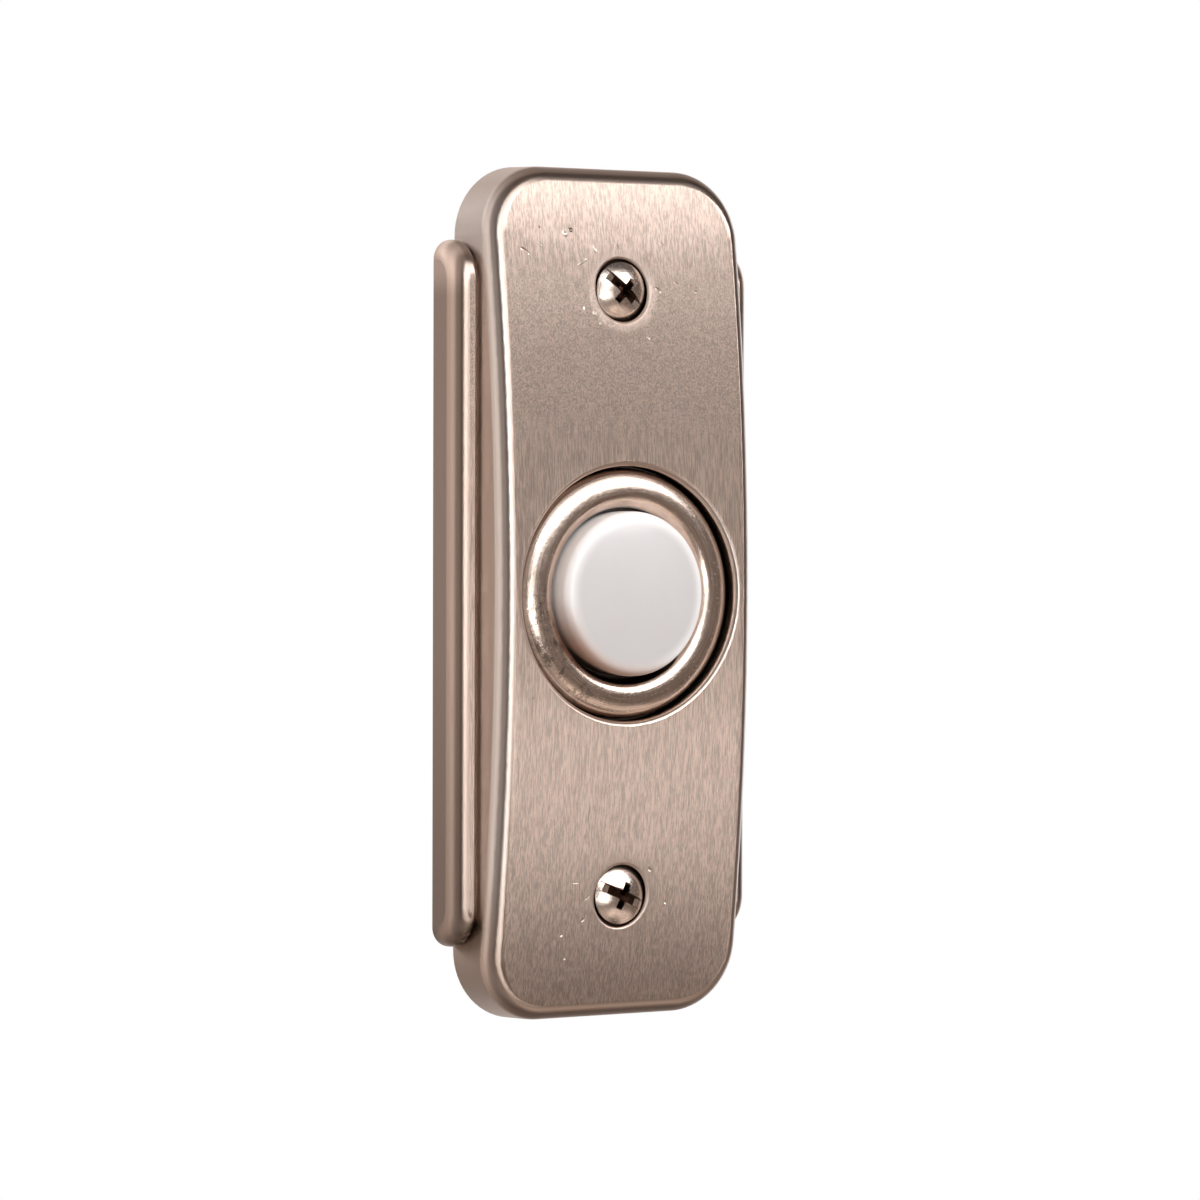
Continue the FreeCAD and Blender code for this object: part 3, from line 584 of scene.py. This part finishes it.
def satin_nickel():
    material, tree, surface = new_material("satin nickel, brushed")
    place = millimetres(tree)
    parts = split(tree, place)
    normal_parts = split(tree, tree.nodes.new("ShaderNodeTexCoord").outputs["Normal"])
    depth = depth_under_face(tree, parts)
    lines = brush_lines(tree, place, parts[2])
    halo = worn_halo(tree, parts, lines)
    dark_marks, mark_height = written_marks(tree, place)
    face = ramp(tree, normal_parts[1], -0.95, -0.985)
    pits = use_group(tree, nicks, Place=place, Spacing=2.6, Share=0.04, Size=0.09)["Mask"]
    pits = math_node(tree, "MULTIPLY", pits, face)
    tone = ramp(tree, lines, 0.40, 0.60)
    inside = inside_cover(tree, parts, depth, normal_parts)
    off_middle = math_node(tree, "ABSOLUTE", parts[0])
    # Painted light: the walls beside the wings are painted paler, less so near the bottom and the top.
    lit_walls = ramp(tree, math_node(tree, "ABSOLUTE", normal_parts[0]), 0.2, 0.6)
    lit_walls = math_node(tree, "MULTIPLY", lit_walls, ramp(tree, off_middle, WING_CREST, WING_FOOT))
    lit_walls = math_node(tree, "MULTIPLY", lit_walls, ramp(tree, parts[2], -42.0, -30.0, 0.1, 0.85))
    lit_walls = math_node(tree, "MULTIPLY", lit_walls, ramp(tree, parts[2], 47.5, 43.5, 0.3, 1.0))
    wing = ramp(tree, off_middle, WING_FOOT, WING_CREST)
    # A painted highlight on the upper ends of the wings, in the bright nickel colour.
    tip_highlight = math_node(tree, "MULTIPLY", ramp(tree, parts[2], 33.5, 37.0), wing)
    tip_highlight = math_node(tree, "MULTIPLY", tip_highlight, ramp(tree, parts[2], 42.0, 39.0, 0.3, 1.0))
    tone_and_highlight = math_node(tree, "MAXIMUM", math_node(tree, "MULTIPLY", tone, face), tip_highlight)
    colour = mix_colour(tree, tone_and_highlight, NICKEL_DARK, NICKEL)
    colour = mix_colour(tree, lit_walls, colour, LIT_WALL_NICKEL)
    # The wings are painted darker towards their lower ends.
    darkening = math_node(tree, "MULTIPLY", ramp(tree, parts[2], 0.0, -42.0, 0.0, 0.6), wing)
    colour = mix_colour(tree, darkening, colour, WING_LOWER_TONE)
    dark_marks = math_node(tree, "MAXIMUM", dark_marks, math_node(tree, "MULTIPLY", halo, 0.22))
    pits = math_node(tree, "MULTIPLY", pits, 0.7)
    dark_marks = math_node(tree, "MAXIMUM", math_node(tree, "MULTIPLY", dark_marks, face), pits)
    colour = mix_colour(tree, dark_marks, colour, MARK_DARK)
    glint = math_node(tree, "MULTIPLY", math_node(tree, "MAXIMUM", mark_height, 0.0), face)
    colour = mix_colour(tree, math_node(tree, "MULTIPLY", glint, 0.6), colour, MARK_PALE)
    cast = add_node(tree, "ShaderNodeTexNoise", Vector=place, Scale=1.4, Detail=5.0).outputs["Fac"]
    colour = mix_colour(tree, inside, colour, mix_colour(tree, cast, BARE_ZINC, PALE_ZINC))
    # Painted shade in the deep gaps of the pocket and the screw holes.
    colour = mix_colour(tree, painted_gap_shade(tree, parts, depth), colour, DEEP_SHADE)
    rough = ramp(tree, face, 0.0, 1.0, 0.38, 0.42)
    rough = math_node(tree, "MULTIPLY_ADD", tone, 0.05, rough)
    rough = math_node(tree, "MULTIPLY_ADD", glint, -0.10, rough)
    rough = math_node(tree, "MAXIMUM", rough, math_node(tree, "MULTIPLY", inside, 0.55))
    left = math_node(tree, "LESS_THAN", parts[0], 1.0 - HALF_WIDTH)
    residue = capsule(tree, parts, (-17.9, -37.6), (-18.3, -39.9), 0.55, 0.45)
    residue = math_node(tree, "MULTIPLY", residue, left)
    residue = math_node(tree, "MULTIPLY", residue, ramp(tree, cast, 0.35, 0.6))
    residue = math_node(tree, "MULTIPLY", residue, math_node(tree, "SUBTRACT", 1.0, inside))
    colour = mix_colour(tree, math_node(tree, "MULTIPLY", residue, 0.8), colour, RESIDUE_GREEN)
    rough = math_node(tree, "MAXIMUM", rough, math_node(tree, "MULTIPLY", residue, 0.6))
    height = math_node(tree, "MULTIPLY", math_node(tree, "MULTIPLY_ADD", face, 0.011, 0.003), lines)
    height = math_node(tree, "MULTIPLY_ADD", math_node(tree, "MULTIPLY", inside, 0.075), cast, height)
    height = math_node(tree, "MULTIPLY_ADD", pits, -0.03, height)
    height = math_node(tree, "MULTIPLY_ADD", math_node(tree, "MULTIPLY", face, 0.09), mark_height, height)
    height = math_node(tree, "MULTIPLY_ADD", halo, -0.012, height)
    wire(tree, surface, Base_Color=colour, Metallic=1.0, Roughness=rough, Anisotropic=1.0,
         Tangent=across_the_brushing(tree, face), Normal=bump(tree, height, 1.0, 1.0))
    return material


give(satin_nickel(), "front_cover")

# %% [markdown]
# Round pieces are finished on a lathe or in a tumbling drum, and either leaves faint marks that run round
# them. A group draws such marks from the distance to the piece's own axis, so that the ring, the nut, the
# washers and the screw heads can all use it with their own fineness.
# The ring is polished but not a mirror: it has a soft grain that breaks up the edges of its highlights.
# Painted shade darkens its outer foot and its bore, most at the bottom, its outer flank is painted darker
# towards its foot, and blotches of painted dark reflection lie on its lower left.

# %% The group for marks that run round
def turned_group():
    """Marks round an axis that runs into the wall through Centre X and Centre Z."""
    group, given, result = new_group(
        "turned marks", [("Place", "v"), ("Centre X", "f"), ("Centre Z", "f"), ("Fineness", "f"),
                         ("Length", "f")], [("Marks", "f"), ("Grain", "f")])
    parts = split(group, given["Place"])
    across = math_node(group, "SUBTRACT", parts[0], given["Centre X"])
    up_from = math_node(group, "SUBTRACT", parts[2], given["Centre Z"])
    square = math_node(group, "MULTIPLY", across, across)
    reach = math_node(group, "SQRT", math_node(group, "MULTIPLY_ADD", up_from, up_from, square))
    reach = math_node(group, "MAXIMUM", reach, 0.01)
    rounds = math_node(group, "DIVIDE", 1.0, given["Length"])
    depth = math_node(group, "MULTIPLY_ADD", parts[1], given["Fineness"],
                      math_node(group, "MULTIPLY", reach, given["Fineness"]))
    turned = add_node(group, "ShaderNodeCombineXYZ",
                      i0=math_node(group, "MULTIPLY", math_node(group, "DIVIDE", across, reach), rounds),
                      i1=math_node(group, "MULTIPLY", math_node(group, "DIVIDE", up_from, reach), rounds),
                      i2=depth).outputs[0]
    marks = add_node(group, "ShaderNodeTexNoise", Vector=turned, Scale=1.0, Detail=4.0, Roughness=0.6)
    grain = add_node(group, "ShaderNodeTexNoise", Vector=given["Place"], Scale=2.4, Detail=5.0, Roughness=0.7)
    group.links.new(marks.outputs["Fac"], result["Marks"])
    group.links.new(grain.outputs["Fac"], result["Grain"])
    return group


turned = turned_group()


def turned_metal(name, colour, dark, roughness, centre_x=0.0, centre_z=0.0, fineness=6.0, grain=0.2,
                 metal_bump=0.15, painted_shade=None, shade_colour=DEEP_SHADE):
    """Metal that was turned or tumbled round its own axis; an optional function gives a mask of painted shade,
    painted in the given colour.
    """
    material, tree, surface = new_material(name)
    place = millimetres(tree)
    marks = use_group(tree, turned, Place=place, Centre_X=centre_x, Centre_Z=centre_z, Fineness=fineness,
                      Length=0.35)
    tone = ramp(tree, marks["Marks"], 0.35, 0.65)
    shade = mix_colour(tree, tone, dark, colour)
    # Painted shade from the mask is mixed over the metal's own colour.
    if painted_shade is not None:
        shade = mix_colour(tree, painted_shade(tree, split(tree, place)), shade, shade_colour)
    rough = math_node(tree, "MULTIPLY_ADD", marks["Grain"], grain, roughness - grain / 2)
    relief = bump(tree, marks["Marks"], metal_bump, 0.02)
    relief = bump(tree, marks["Grain"], metal_bump, 0.04, relief)
    wire(tree, surface, Base_Color=shade, Metallic=1.0, Roughness=rough, Normal=relief)
    return material


# %% Polished nickel for the ring and the screws
RING_BORE = 9.8


def ring_painted_shade(tree, parts):
    """Painted shade at the ring's outer foot and deep in its bore, wider at the bottom; the outer flank darker
    towards its foot; painted dark reflection in blotches at the lower left.
    """
    reach = distance_from(tree, parts, 0.0, 0.0)
    foot = ramp(tree, reach, RING_RADIUS - 0.16, RING_RADIUS - 0.02)
    shade_grows_low = ramp(tree, parts[2], -5.0, -9.0, 0.0, 0.55)
    bore = ramp(tree, math_node(tree, "SUBTRACT", reach, shade_grows_low), RING_BORE + 0.16, RING_BORE + 0.03)
    darkening = ramp(tree, reach, RING_RADIUS - 1.3, RING_RADIUS - 0.3, 0.0, 0.4)
    lower_left = math_node(tree, "MULTIPLY_ADD", parts[0], -0.85, math_node(tree, "MULTIPLY", parts[2], -0.5))
    cloud = add_node(tree, "ShaderNodeTexNoise", Vector=millimetres(tree), Scale=0.8, Detail=7.0,
                     Roughness=0.7).outputs["Fac"]
    # Painted dark reflection in blotches on the lower left.
    dark_reflection_blotches = math_node(tree, "MULTIPLY", ramp(tree, cloud, 0.50, 0.60, 0.0, 0.55),
                       ramp(tree, lower_left, 7.0, 12.0))
    painted_shade = math_node(tree, "MAXIMUM", foot, bore)
    return math_node(tree, "MAXIMUM", painted_shade, math_node(tree, "MAXIMUM", darkening, dark_reflection_blotches))


give(turned_metal("polished nickel", (0.82, 0.66, 0.57, 1.0), (0.60, 0.47, 0.39, 1.0), 0.24, fineness=7.0,
                  grain=0.22, metal_bump=0.45, painted_shade=ring_painted_shade), "trim_ring")


HEAD_TOP = upper_low.y / MM
HEAD_DOME = 5.31
SLOT_HALF = 0.525
CROSS_HALF = 0.45
CROSS_REACH = 1.88
SLOT_ANGLES = {1: -41.0, -1: -24.0}


def painted_recess_shade(side):
    """Painted shade: brown in the cross recess, dark along the slot's walls, stronger on the upper one, and at the
    side of the head.
    """
    def mask(tree, parts):
        turn = math.radians(SLOT_ANGLES[side])
        up_from = math_node(tree, "SUBTRACT", parts[2], side * SCREW_HEIGHT)
        along = math_node(tree, "MULTIPLY_ADD", up_from, math.sin(turn),
                          math_node(tree, "MULTIPLY", parts[0], math.cos(turn)))
        across = math_node(tree, "MULTIPLY_ADD", up_from, math.cos(turn),
                           math_node(tree, "MULTIPLY", parts[0], -math.sin(turn)))
        off = [math_node(tree, "ABSOLUTE", value) for value in (along, across)]
        reach = distance_from(tree, parts, 0.0, side * SCREW_HEIGHT)
        dome = math_node(tree, "MULTIPLY", math_node(tree, "MULTIPLY", reach, reach), 0.5 / HEAD_DOME)
        under = math_node(tree, "SUBTRACT", math_node(tree, "SUBTRACT", parts[1], HEAD_TOP), dome)
        below = ramp(tree, under, 0.10, 0.30)
        narrow = math_node(tree, "LESS_THAN", math_node(tree, "MINIMUM", *off), CROSS_HALF + 0.04)
        short = math_node(tree, "LESS_THAN", math_node(tree, "MAXIMUM", *off), CROSS_REACH + 0.04)
        cross = math_node(tree, "MULTIPLY", narrow, short)
        from_edge = math_node(tree, "ABSOLUTE", math_node(tree, "SUBTRACT", off[1], SLOT_HALF))
        edge = math_node(tree, "MULTIPLY", ramp(tree, from_edge, 0.13, 0.05), 0.85)
        edge = math_node(tree, "MULTIPLY", edge, math_node(tree, "LESS_THAN", reach, HEAD_RADIUS - 0.15))
        edge = math_node(tree, "MULTIPLY", edge, ramp(tree, across, -0.2, 0.2, 0.45, 1.0))
        inner = math_node(tree, "MAXIMUM", math_node(tree, "MULTIPLY", below, cross), edge)
        rim = ramp(tree, parts[1], HEAD_TOP + 1.25, HEAD_TOP + 1.45)
        return math_node(tree, "MAXIMUM", inner, rim)
    return mask


# The screws get painted shade in the cross recess, along the slot's walls and at the side of the head.
for name, side in (("mounting_screw_upper", 1), ("mounting_screw_lower", -1)):
    give(turned_metal("polished " + name.replace("_", " "), (0.84, 0.70, 0.62, 1.0), (0.68, 0.55, 0.47, 1.0),
                      0.25, centre_z=side * SCREW_HEIGHT, fineness=5.0, grain=0.16, metal_bump=0.3,
                      painted_shade=painted_recess_shade(side), shade_colour=(0.075, 0.042, 0.027, 1.0)), name)


# %% [markdown]
# The button is moulded from a milky plastic that lets the little lamp behind it shine through. Light goes in
# and comes out again nearby, which is subsurface scattering, and a thin glossy skin lies on top. Its rim and
# side are painted paler as painted light, a brown painted reflection of the ring lies on its lower left, and
# painted shade makes its side dark where it enters the ring, most at the bottom.

# %% The button
CAP_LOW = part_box("button_cap")[0]
CAP_RADIUS = 9.45


def milky_plastic():
    material, tree, surface = new_material("milky plastic")
    place = millimetres(tree)
    parts = split(tree, place)
    soft = add_node(tree, "ShaderNodeTexNoise", Vector=place, Scale=0.25, Detail=2.0).outputs["Fac"]
    cloud = add_node(tree, "ShaderNodeTexNoise", Vector=place, Scale=0.12, Detail=3.0).outputs["Fac"]
    colour = mix_colour(tree, cloud, (0.545, 0.51, 0.50, 1.0), (0.59, 0.56, 0.548, 1.0))
    lower_left = math_node(tree, "MULTIPLY_ADD", parts[0], -0.4, math_node(tree, "MULTIPLY", parts[2], -0.9))
    # Painted light: the cap's rim and side are painted paler.
    side = ramp(tree, distance_from(tree, parts, 0.0, 0.0), CAP_RADIUS - 1.9, CAP_RADIUS + 0.1)
    colour = mix_colour(tree, side, colour, (0.90, 0.86, 0.84, 1.0))
    # A brown painted reflection of the ring on the lower left of the rim.
    painted_ring_reflection = math_node(tree, "MULTIPLY", side, ramp(tree, lower_left, 3.2, 9.0))
    colour = mix_colour(tree, painted_ring_reflection, colour, (0.36, 0.21, 0.15, 1.0))
    # Painted shade on the side where it enters the ring, reaching further at the bottom.
    shade_grows_low = ramp(tree, parts[2], -5.0, -9.0, 0.0, 2.1)
    cap_gap_shade = ramp(tree, math_node(tree, "ADD", parts[1], shade_grows_low), CAP_LOW.y / MM + 4.4, CAP_LOW.y / MM + 5.3)
    colour = mix_colour(tree, cap_gap_shade, colour, (0.07, 0.042, 0.03, 1.0))
    front = ramp(tree, distance_from(tree, parts, 0.0, 0.0), CAP_RADIUS - 0.1, CAP_RADIUS - 0.9)
    wire(tree, surface, Base_Color=colour, Roughness=0.38, Subsurface_Weight=0.3,
         Subsurface_Radius=(1.0, 0.8, 0.7), Subsurface_Scale=0.0012,
         Coat_Weight=math_node(tree, "MULTIPLY", front, 0.5), Coat_Roughness=0.10,
         Normal=bump(tree, soft, 0.25, 0.3))
    return material


give(milky_plastic(), "button_cap")

# %% [markdown]
# Behind the cover sits the switch. Its base is a dark moulded plastic, which comes out of the mould with a
# very fine grain and slight flow marks. One group draws that grain at any size.

# %% Moulded plastic for the base
def moulded_group():
    group, given, result = new_group("moulded grain", [("Place", "v"), ("Size", "f")],
                                     [("Grain", "f"), ("Flow", "f")])
    scale = math_node(group, "DIVIDE", 1.0, given["Size"])
    grain = add_node(group, "ShaderNodeTexNoise", Vector=given["Place"], Scale=scale, Detail=3.0)
    flow = add_node(group, "ShaderNodeTexNoise", Vector=given["Place"],
                    Scale=math_node(group, "MULTIPLY", scale, 0.06), Detail=2.0, Distortion=1.5)
    group.links.new(grain.outputs["Fac"], result["Grain"])
    group.links.new(flow.outputs["Fac"], result["Flow"])
    return group


moulded = moulded_group()


def moulded_plastic(name, colour, light, roughness, size):
    material, tree, surface = new_material(name)
    place = millimetres(tree)
    grain = use_group(tree, moulded, Place=place, Size=size)
    shade = mix_colour(tree, ramp(tree, grain["Flow"], 0.3, 0.7), colour, light)
    rough = math_node(tree, "MULTIPLY_ADD", grain["Flow"], 0.2, roughness - 0.1)
    wire(tree, surface, Base_Color=shade, Roughness=rough, Normal=bump(tree, grain["Grain"], 0.4, 0.03))
    return material


give(moulded_plastic("dark base plastic", (0.018, 0.017, 0.017, 1.0), (0.035, 0.032, 0.030, 1.0), 0.5, 0.12),
     "switch_base")

# %% [markdown]
# The thin metal parts are stamped from rolled strip. Rolling leaves fine straight lines, and handling leaves
# tarnish: darker, browner patches. The same brushing group draws the lines, and a cloud of noise the tarnish.

# %% Stamped strip, wire and plating
def strip_metal(name, colour, tarnish, roughness, fineness=5.0, length=4.0, tarnish_share=0.5):
    material, tree, surface = new_material(name)
    place = millimetres(tree)
    lines = use_group(tree, brushing, Place=place, Fineness=fineness, Length=length)
    cloud = add_node(tree, "ShaderNodeTexNoise", Vector=place, Scale=0.45, Detail=5.0, Roughness=0.6)
    patches = ramp(tree, cloud.outputs["Fac"], tarnish_share, tarnish_share + 0.22)
    shade = mix_colour(tree, patches, colour, tarnish)
    rough = math_node(tree, "MULTIPLY_ADD", patches, 0.14, roughness)
    rough = math_node(tree, "MULTIPLY_ADD", lines["Lines"], 0.08, rough)
    wire(tree, surface, Base_Color=shade, Metallic=1.0, Roughness=rough,
         Normal=bump(tree, lines["Lines"], 0.25, 0.02))
    return material


BRASS = (0.83, 0.62, 0.30, 1.0)
BRASS_TARNISH = (0.45, 0.29, 0.13, 1.0)
TIN = (0.72, 0.71, 0.69, 1.0)
STEEL = (0.55, 0.54, 0.52, 1.0)
give(strip_metal("rolled brass", BRASS, BRASS_TARNISH, 0.26), "contact_upper", "contact_lower",
     "moving_contact")
give(turned_metal("rivet brass", BRASS, BRASS_TARNISH, 0.28), "eyelet_upper", "eyelet_lower")
give(strip_metal("spring wire", (0.62, 0.61, 0.60, 1.0), (0.30, 0.27, 0.25, 1.0), 0.22, 7.0, 1.0, 0.6),
     "return_spring")
give(turned_metal("plated washer", STEEL, (0.36, 0.34, 0.32, 1.0), 0.34, fineness=4.0), "lock_washer")
give(turned_metal("plated nut", (0.70, 0.68, 0.64, 1.0), (0.52, 0.49, 0.45, 1.0), 0.26, fineness=5.0),
     "retaining_nut")
for name in ("terminal_screw_upper", "terminal_screw_lower"):
    low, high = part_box(name)
    give(turned_metal("plated " + name.replace("_", " "), (0.78, 0.74, 0.62, 1.0), (0.60, 0.55, 0.44, 1.0),
                      0.24, centre_z=(low.z + high.z) / 2 / MM, fineness=8.0), name)

# %% [markdown]
# The lamp is a clear amber resin drop on two tinned legs. Its board is pressed brown laminate with tinned
# copper tracks, and the resistor and the diode lie on it. A leg and a body share one solid here, so the
# material tells them apart by where they lie.

# %% The lamp
def lamp_resin():
    material, tree, surface = new_material("lamp resin")
    place = millimetres(tree)
    parts = split(tree, place)
    leg_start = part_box("lamp")[0].y / MM + 4.7
    leg = math_node(tree, "GREATER_THAN", parts[1], leg_start)
    cloud = add_node(tree, "ShaderNodeTexNoise", Vector=place, Scale=0.9, Detail=3.0).outputs["Fac"]
    resin = mix_colour(tree, cloud, (0.85, 0.30, 0.05, 1.0), (0.92, 0.48, 0.12, 1.0))
    wire(tree, surface, Base_Color=mix_colour(tree, leg, resin, TIN), Metallic=leg,
         Roughness=ramp(tree, cloud, 0.2, 0.8, 0.10, 0.22), Subsurface_Weight=0.35,
         Subsurface_Radius=(1.0, 0.4, 0.1), Subsurface_Scale=0.001, Coat_Weight=0.6)
    return material


give(lamp_resin(), "lamp")


# %% The board and its tracks
LAMP_LEG_X = 1.27
CHIP_X = 3.2
CHIP_PAD_Z = 0.5
CHIP_STRIP_Z = 10.5
BOARD_PADS = [(side * x, side * z) for side in (1, -1) for x, z in ((LAMP_LEG_X, 0.0), (CHIP_X, CHIP_PAD_Z))]


def board_laminate():
    material, tree, surface = new_material("board laminate")
    place = millimetres(tree)
    parts = split(tree, place)
    weave = use_group(tree, moulded, Place=place, Size=0.3)
    colour = mix_colour(tree, ramp(tree, weave["Flow"], 0.3, 0.7), (0.30, 0.16, 0.07, 1.0),
                        (0.40, 0.23, 0.11, 1.0))
    tracks = None
    for side in (1, -1):
        track = capsule(tree, parts, (side * LAMP_LEG_X, 0.0), (side * CHIP_X, side * CHIP_PAD_Z), 0.42)
        tracks = track if tracks is None else math_node(tree, "MAXIMUM", tracks, track)
    for x, z in BOARD_PADS:
        pad = ramp(tree, distance_from(tree, parts, x, z), 0.85, 0.79)
        tracks = math_node(tree, "MAXIMUM", tracks, pad)
    tinned = mix_colour(tree, weave["Grain"], (0.62, 0.58, 0.52, 1.0), TIN)
    rough = math_node(tree, "MULTIPLY_ADD", tracks, -0.28, 0.58)
    relief = bump(tree, tracks, 0.8, 0.05, bump(tree, weave["Grain"], 0.3, 0.02))
    wire(tree, surface, Base_Color=mix_colour(tree, tracks, colour, tinned), Metallic=tracks, Roughness=rough,
         Normal=relief)
    return material


give(board_laminate(), "lamp_board")


# %% The resistor and the diode
CHIP_HALF_LENGTH = 1.7
CHIP_MIDDLE = 3.2
CHIP_RADIUS = 0.8


def banded_part(name, side, body, bands):
    """Axial part: a body with coloured bands, each (place along it, half width, colour), and tinned leads."""
    material, tree, surface = new_material(name)
    place = millimetres(tree)
    parts = split(tree, place)
    along = math_node(tree, "SUBTRACT", parts[2], side * CHIP_MIDDLE)
    off_axis = distance_from_axis(tree, parts, side)
    end = math_node(tree, "LESS_THAN", math_node(tree, "ABSOLUTE", along), CHIP_HALF_LENGTH + 0.02)
    in_body = math_node(tree, "MULTIPLY", end, math_node(tree, "GREATER_THAN", off_axis, 0.27))
    speckle = add_node(tree, "ShaderNodeTexNoise", Vector=place, Scale=6.0, Detail=3.0).outputs["Fac"]
    colour = mix_colour(tree, speckle, body, tuple(min(1.0, c * 1.3) for c in body[:3]) + (1.0,))
    for spot, half, paint in bands:
        away = math_node(tree, "ABSOLUTE", math_node(tree, "SUBTRACT", along, side * spot))
        colour = mix_colour(tree, ramp(tree, away, half + 0.03, half - 0.03), colour, paint)
    colour = mix_colour(tree, in_body, TIN, colour)
    wire(tree, surface, Base_Color=colour, Metallic=math_node(tree, "SUBTRACT", 1.0, in_body),
         Roughness=math_node(tree, "MULTIPLY_ADD", speckle, 0.15, 0.25), Coat_Weight=in_body,
         Normal=bump(tree, speckle, 0.15, 0.03))
    return material


def distance_from_axis(tree, parts, side):
    """Distance from the axis of an axial part, which lies on the board and runs up and down."""
    board_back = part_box("lamp_board")[1].y / MM
    across = math_node(tree, "SUBTRACT", parts[0], side * CHIP_X)
    deep = math_node(tree, "SUBTRACT", parts[1], board_back + CHIP_RADIUS)
    square = math_node(tree, "MULTIPLY", across, across)
    return math_node(tree, "SQRT", math_node(tree, "MULTIPLY_ADD", deep, deep, square))


BROWN, BLACK, ORANGE = (0.12, 0.035, 0.012, 1.0), (0.008, 0.008, 0.008, 1.0), (0.80, 0.22, 0.02, 1.0)
GOLD, SILVER = (0.62, 0.42, 0.10, 1.0), (0.60, 0.60, 0.60, 1.0)
give(banded_part("banded resistor", 1, (0.62, 0.46, 0.28, 1.0),
                 [(-1.15, 0.16, BROWN), (-0.55, 0.16, BLACK), (0.05, 0.16, ORANGE), (1.0, 0.16, GOLD)]), "resistor")
give(banded_part("black diode", -1, (0.012, 0.012, 0.013, 1.0), [(0.95, 0.28, SILVER)]), "diode")

# %% [markdown]
# Every lead on the board is held by solder: a small bright cone with hollow sides that wets the pad and
# climbs the wire. The cones are turned from one profile, and each is set where its lead comes through.
# A fine unevenness moves their points, because no two solder joints are alike.

# %% Solder joints
import random

SOLDER_PROFILE = [(0.0, 0.52), (0.30, 0.50), (0.36, 0.36), (0.44, 0.20), (0.58, 0.08), (0.74, 0.02), (0.76, -0.04)]


def lathe(name, profile, centre, facing=1.0, steps=32, wobble=0.0, seed=1):
    """Turns (radius, height) points in millimetres round an axis along Y; heights grow towards the wall."""
    chance = random.Random(seed)
    shape = bmesh.new()
    rings = []
    for radius, height in profile:
        y = centre[1] + facing * height
        if radius == 0.0:
            rings.append([shape.verts.new((centre[0] * MM, y * MM, centre[2] * MM))])
            continue
        ring = []
        for step in range(steps):
            angle = math.tau * step / steps
            r = radius * (1.0 + wobble * (chance.random() - 0.5))
            ring.append(shape.verts.new(((centre[0] + r * math.cos(angle)) * MM, y * MM,
                                         (centre[2] + r * math.sin(angle)) * MM)))
        rings.append(ring)
    for one, two in zip(rings, rings[1:]):
        for step in range(steps):
            after = (step + 1) % steps
            if len(one) == 1:
                shape.faces.new((one[0], two[step], two[after]))
            else:
                shape.faces.new((one[step], two[step], two[after], one[after]))
    if len(rings[-1]) > 1:
        shape.faces.new(rings[-1])
    bmesh.ops.recalc_face_normals(shape, faces=shape.faces)
    mesh = bpy.data.meshes.new(name)
    shape.to_mesh(mesh)
    shape.free()
    mesh.polygons.foreach_set("use_smooth", [True] * len(mesh.polygons))
    return new_object(name, mesh)


solder = strip_metal("solder", (0.78, 0.77, 0.75, 1.0), (0.50, 0.49, 0.47, 1.0), 0.18, 2.0, 1.0, 0.5)
board_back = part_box("lamp_board")[1].y / MM
strip_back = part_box("contact_upper")[1].y / MM
joints = [(x, board_back, z) for x, z in BOARD_PADS]
joints += [(side * CHIP_X, strip_back, side * CHIP_STRIP_Z) for side in (1, -1)]
for number, spot in enumerate(joints):
    joint = lathe("solder_joint_%d" % (number + 1), SOLDER_PROFILE, spot, wobble=0.05, seed=number)
    joint.data.materials.append(solder)
    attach(joint, "housing")
print("solder joints:", len(joints))

# %% [markdown]
# The solids carry plain shanks, because a thread is too fine for them. A wood screw's thread is one long
# ridge that winds round the shank, tall and thin, and runs out along the point. It is made as a small
# three-cornered section swept along a helix: on the point both its foot and its crest follow the cone.

# %% Threads of the mounting screws
THREAD_PITCH = 1.4
THREAD_CREST = 1.75
THREAD_FOOT = 1.45
THREAD_CORE_START = 0.35
POINT_LENGTH = 4.0
STEPS_PER_TURN = 40


def screw_thread(name, centre_x, centre_z, start_y, tip_y):
    """Ridge round a shank along Y, from start_y to just short of tip_y, in millimetres."""
    end_y = tip_y - 0.5
    turns = (end_y - start_y) / THREAD_PITCH
    count = int(turns * STEPS_PER_TURN)
    shape = bmesh.new()
    rows = []
    for step in range(count + 1):
        angle = math.tau * step / STEPS_PER_TURN
        y = start_y + THREAD_PITCH * step / STEPS_PER_TURN
        slim = min(1.0, (tip_y - y) / POINT_LENGTH)
        run_in = min(1.0, step / STEPS_PER_TURN)
        foot = THREAD_FOOT * slim
        crest = foot + (THREAD_CREST - THREAD_FOOT) * (0.15 + 0.85 * run_in) * (0.35 + 0.65 * slim)
        row = []
        for radius, shift in ((foot, -0.24), (crest, -0.04), (crest, 0.04), (foot, 0.24)):
            row.append(shape.verts.new(((centre_x + radius * math.cos(angle)) * MM,
                                        (y + shift * THREAD_PITCH) * MM,
                                        (centre_z + radius * math.sin(angle)) * MM)))
        rows.append(row)
    for one, two in zip(rows, rows[1:]):
        for corner in range(4):
            after = (corner + 1) % 4
            shape.faces.new((one[corner], one[after], two[after], two[corner]))
    shape.faces.new(rows[0])
    shape.faces.new(rows[-1])
    bmesh.ops.recalc_face_normals(shape, faces=shape.faces)
    mesh = bpy.data.meshes.new(name)
    shape.to_mesh(mesh)
    shape.free()
    return new_object(name, mesh)


for name in ("mounting_screw_upper", "mounting_screw_lower"):
    low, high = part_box(name)
    middle = (low + high) / 2 / MM
    thread = screw_thread(name.replace("mounting_screw", "screw_thread"), middle.x, middle.z,
                          THREAD_CORE_START, high.y / MM)
    thread.data.materials.append(nodes[name].data.materials[0])
    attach(thread, "housing")
    print(thread.name, "with", len(thread.data.polygons), "faces")
